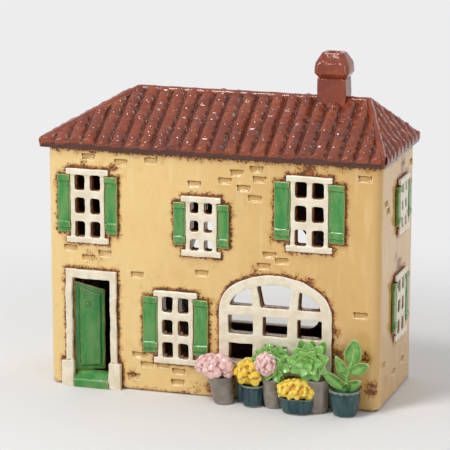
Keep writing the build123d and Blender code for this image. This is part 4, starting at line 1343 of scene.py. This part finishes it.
# %% Cup, wax and wick
cup_low, cup_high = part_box("tealight_cup")
cup_centre = (cup_low + cup_high) / 2
cup_foot = Vector((cup_centre.x, cup_centre.y, cup_low.z))
cup_top, cup_wide = (cup_high.z - cup_low.z) / mm, (cup_high.x - cup_low.x) / 2 / mm
cup_outline = [
    (0, 17.4), (0.3, 18.1), (1.2, 18.4), (5, 18.5), (10, 18.55), (cup_top - 1.2, 18.6),
    (cup_top - 0.8, cup_wide), (cup_top - 0.2, cup_wide), (cup_top, cup_wide - 0.3),
    (cup_top - 0.3, 18.45), (8, 18.3), (0.6, 18.1), (0.5, 17.2),
]
wax_outline = [
    (0.5, 17.2), (0.9, 17.8), (11.2, 17.9), (11.9, 17.7), (12.0, 16.8), (11.7, 9.0), (11.5, 3.0), (11.7, 1.0),
]
crimps, crimp_depth = 48, 0.006

cup = thrown("tealight_cup_shell", cup_outline, cup_foot, 96)
places = points(cup)
east, north = places[:, 0] - cup_centre.x, places[:, 1] - cup_centre.y
side = np.clip((places[:, 2] - cup_low.z) / mm, 0, cup_top)
wave = 1 + np.cos(crimps * np.arctan2(north, east))
crimp = 1 - crimp_depth * wave * np.sin(np.pi * side / cup_top)
places[:, 0], places[:, 1] = cup_centre.x + east * crimp, cup_centre.y + north * crimp
move_points(cup, places)
apply(cup, "BEVEL", width=0.08 * mm, segments=1, limit_method="ANGLE", angle_limit=math.radians(40))
smooth_shade(cup, 45)
dress(cup, metal, "cup_metal", "tealight_cup", body="tealight")

wax = thrown("tealight_wax_cake", wax_outline, cup_foot, 96)
apply(wax, "SUBSURF", levels=1, render_levels=1)
smooth_shade(wax, 45)
dress(wax, paraffin, "wax", "tealight_wax", body="tealight")

wick = soften(solid_copy("tealight_wick", "tealight_wick_braid"), 0.12 * mm, 2)
wax_face, wick_top = cup_low.z + 11 * mm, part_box("tealight_wick")[1].z
places = points(wick)
high = np.clip((places[:, 2] - wax_face) / (wick_top - wax_face), 0, 1)
places[:, 0] += 0.5 * mm * high**2
move_points(wick, places)
dress(wick, cotton_braid, "wick", "tealight_wick", body="tealight")
nodes["wick_sustainer"].data.materials.clear()
nodes["wick_sustainer"].data.materials.append(metal)

# %% [markdown]
# ## Floor, light and camera
# The photograph shows the house on a white sweep under soft light from the upper left. The floor is a
# pale plane that fades into the background's colour away from the house. The world is that colour where
# the camera looks at it, and lights the house as a room that is bright behind the house and dim before
# it.

# %% Floor and background
backdrop = srgb(237, 237, 237)


def floor_paper():
    glaze = Glaze("floor_paper")
    settings = {"operation": "LENGTH"}
    from_house = glaze.add("ShaderNodeVectorMath", settings, {0: glaze.place}, "Value")
    paper = glaze.add("ShaderNodeBsdfDiffuse", inputs={"Color": srgb(230, 228, 226)})
    glow = glaze.add("ShaderNodeEmission", inputs={"Color": backdrop})
    fade = glaze.step(from_house, 0.1, 0.36)
    glaze.output(glaze.add("ShaderNodeMixShader", inputs={0: fade, 1: paper, 2: glow}))
    return glaze.material


floor = disc("floor", 20, (0, 0, 0), 64)
floor.data.materials.append(floor_paper())
floor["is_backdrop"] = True


class Studio(Glaze):
    """The world, built with the same calls as a glaze."""

    output_kind = "ShaderNodeOutputWorld"

    def __init__(self, name):
        world = bpy.data.worlds.new(name)
        bpy.context.scene.world = world
        self.start(world, "Generated")


studio = Studio("studio")
seen_directly = studio.add("ShaderNodeLightPath", output="Is Camera Ray")
for kind in ("Is Glossy Ray", "Is Transmission Ray"):
    seen_directly = seen_directly + studio.add("ShaderNodeLightPath", output=kind)
brightness = studio.step(studio.part(studio.place, 1), -0.5, 0.7) * 0.42 + 0.35
room = studio.add("ShaderNodeBackground", inputs={"Color": (0.93, 0.96, 1.0), "Strength": brightness})
behind = studio.add("ShaderNodeBackground", inputs={"Color": backdrop})
studio.output(studio.add("ShaderNodeMixShader", inputs={0: seen_directly, 1: room, 2: behind}))

# %% [markdown]
# The lights are soft boxes. The highlights on the glaze show where the photographer's stood: two at the
# left, one above, a weak one at the right and one behind.

# %% Soft boxes
def soft_box(name, place, size, power, aim=(0, 0, 0.07)):
    """A square area light in metres and watts, aimed at the house."""
    lamp = primitive(bpy.ops.object.light_add, name, type="AREA", location=place)
    lamp.data.shape = "RECTANGLE"
    lamp.data.size = lamp.data.size_y = size
    lamp.data.energy = power
    lamp.rotation_euler = (Vector(aim) - Vector(place)).to_track_quat("-Z", "Y").to_euler()


soft_box("key", (-0.38, -0.82, 0.76), 0.24, 1.9)
soft_box("low_key", (-0.59, -0.78, 0.46), 0.18, 2.2, aim=(0.05, 0, 0.12))
soft_box("top", (-0.28, -0.42, 1.0), 0.24, 3.8)
soft_box("fill", (0.75, -0.8, 0.35), 0.45, 1.9)
soft_box("back", (0.5, 0.9, 0.9), 0.5, 1.6)

# %% [markdown]
# The camera was solved from the corners of the walls and the ridge in the photograph: its distance, its
# turn and dip, its focal length and the pixel that its axis meets. Here these go into a camera that looks
# at the middle of the house.

# %% Camera, from the solved photograph
photo_pixels = 450
focal_pixels, axis_pixel_x, axis_pixel_y = 2500, 231.58, 261.34
camera_target = Vector((0, 0, 65 * mm))
camera_distance = 1325.62 * mm
camera_turn, camera_dip = math.radians(17.6527), math.radians(14.2473)
level_share = math.cos(camera_dip)
back = Vector((
    math.sin(camera_turn) * level_share, -math.cos(camera_turn) * level_share, math.sin(camera_dip)
))
camera_data = bpy.data.cameras.new("camera")
camera = bpy.data.objects.new("camera", camera_data)
bpy.context.collection.objects.link(camera)
camera.location = camera_target + back * camera_distance
camera.rotation_euler = (-back).to_track_quat("-Z", "Y").to_euler()
camera_data.sensor_width = 36
camera_data.lens = focal_pixels * camera_data.sensor_width / photo_pixels
camera_data.shift_x = (photo_pixels / 2 - axis_pixel_x) / photo_pixels
camera_data.shift_y = (axis_pixel_y - photo_pixels / 2) / photo_pixels
camera_data.clip_end = 50
bpy.context.scene.camera = camera
bpy.context.scene.view_settings.view_transform = "Standard"

# %% [markdown]
# Last, the box of all that is seen is set beside the CAD box in a table and printed. Soft clay may stand
# a millimetre or so outside the CAD solids.

# %% Sizes and the end
seen_low, seen_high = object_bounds()
sizes = {"cad_box": [list(cad_low), list(cad_high)], "visual_box": [list(seen_low), list(seen_high)]}
print("visual box in mm:", [round(v / mm, 1) for v in (*seen_low, *seen_high)])
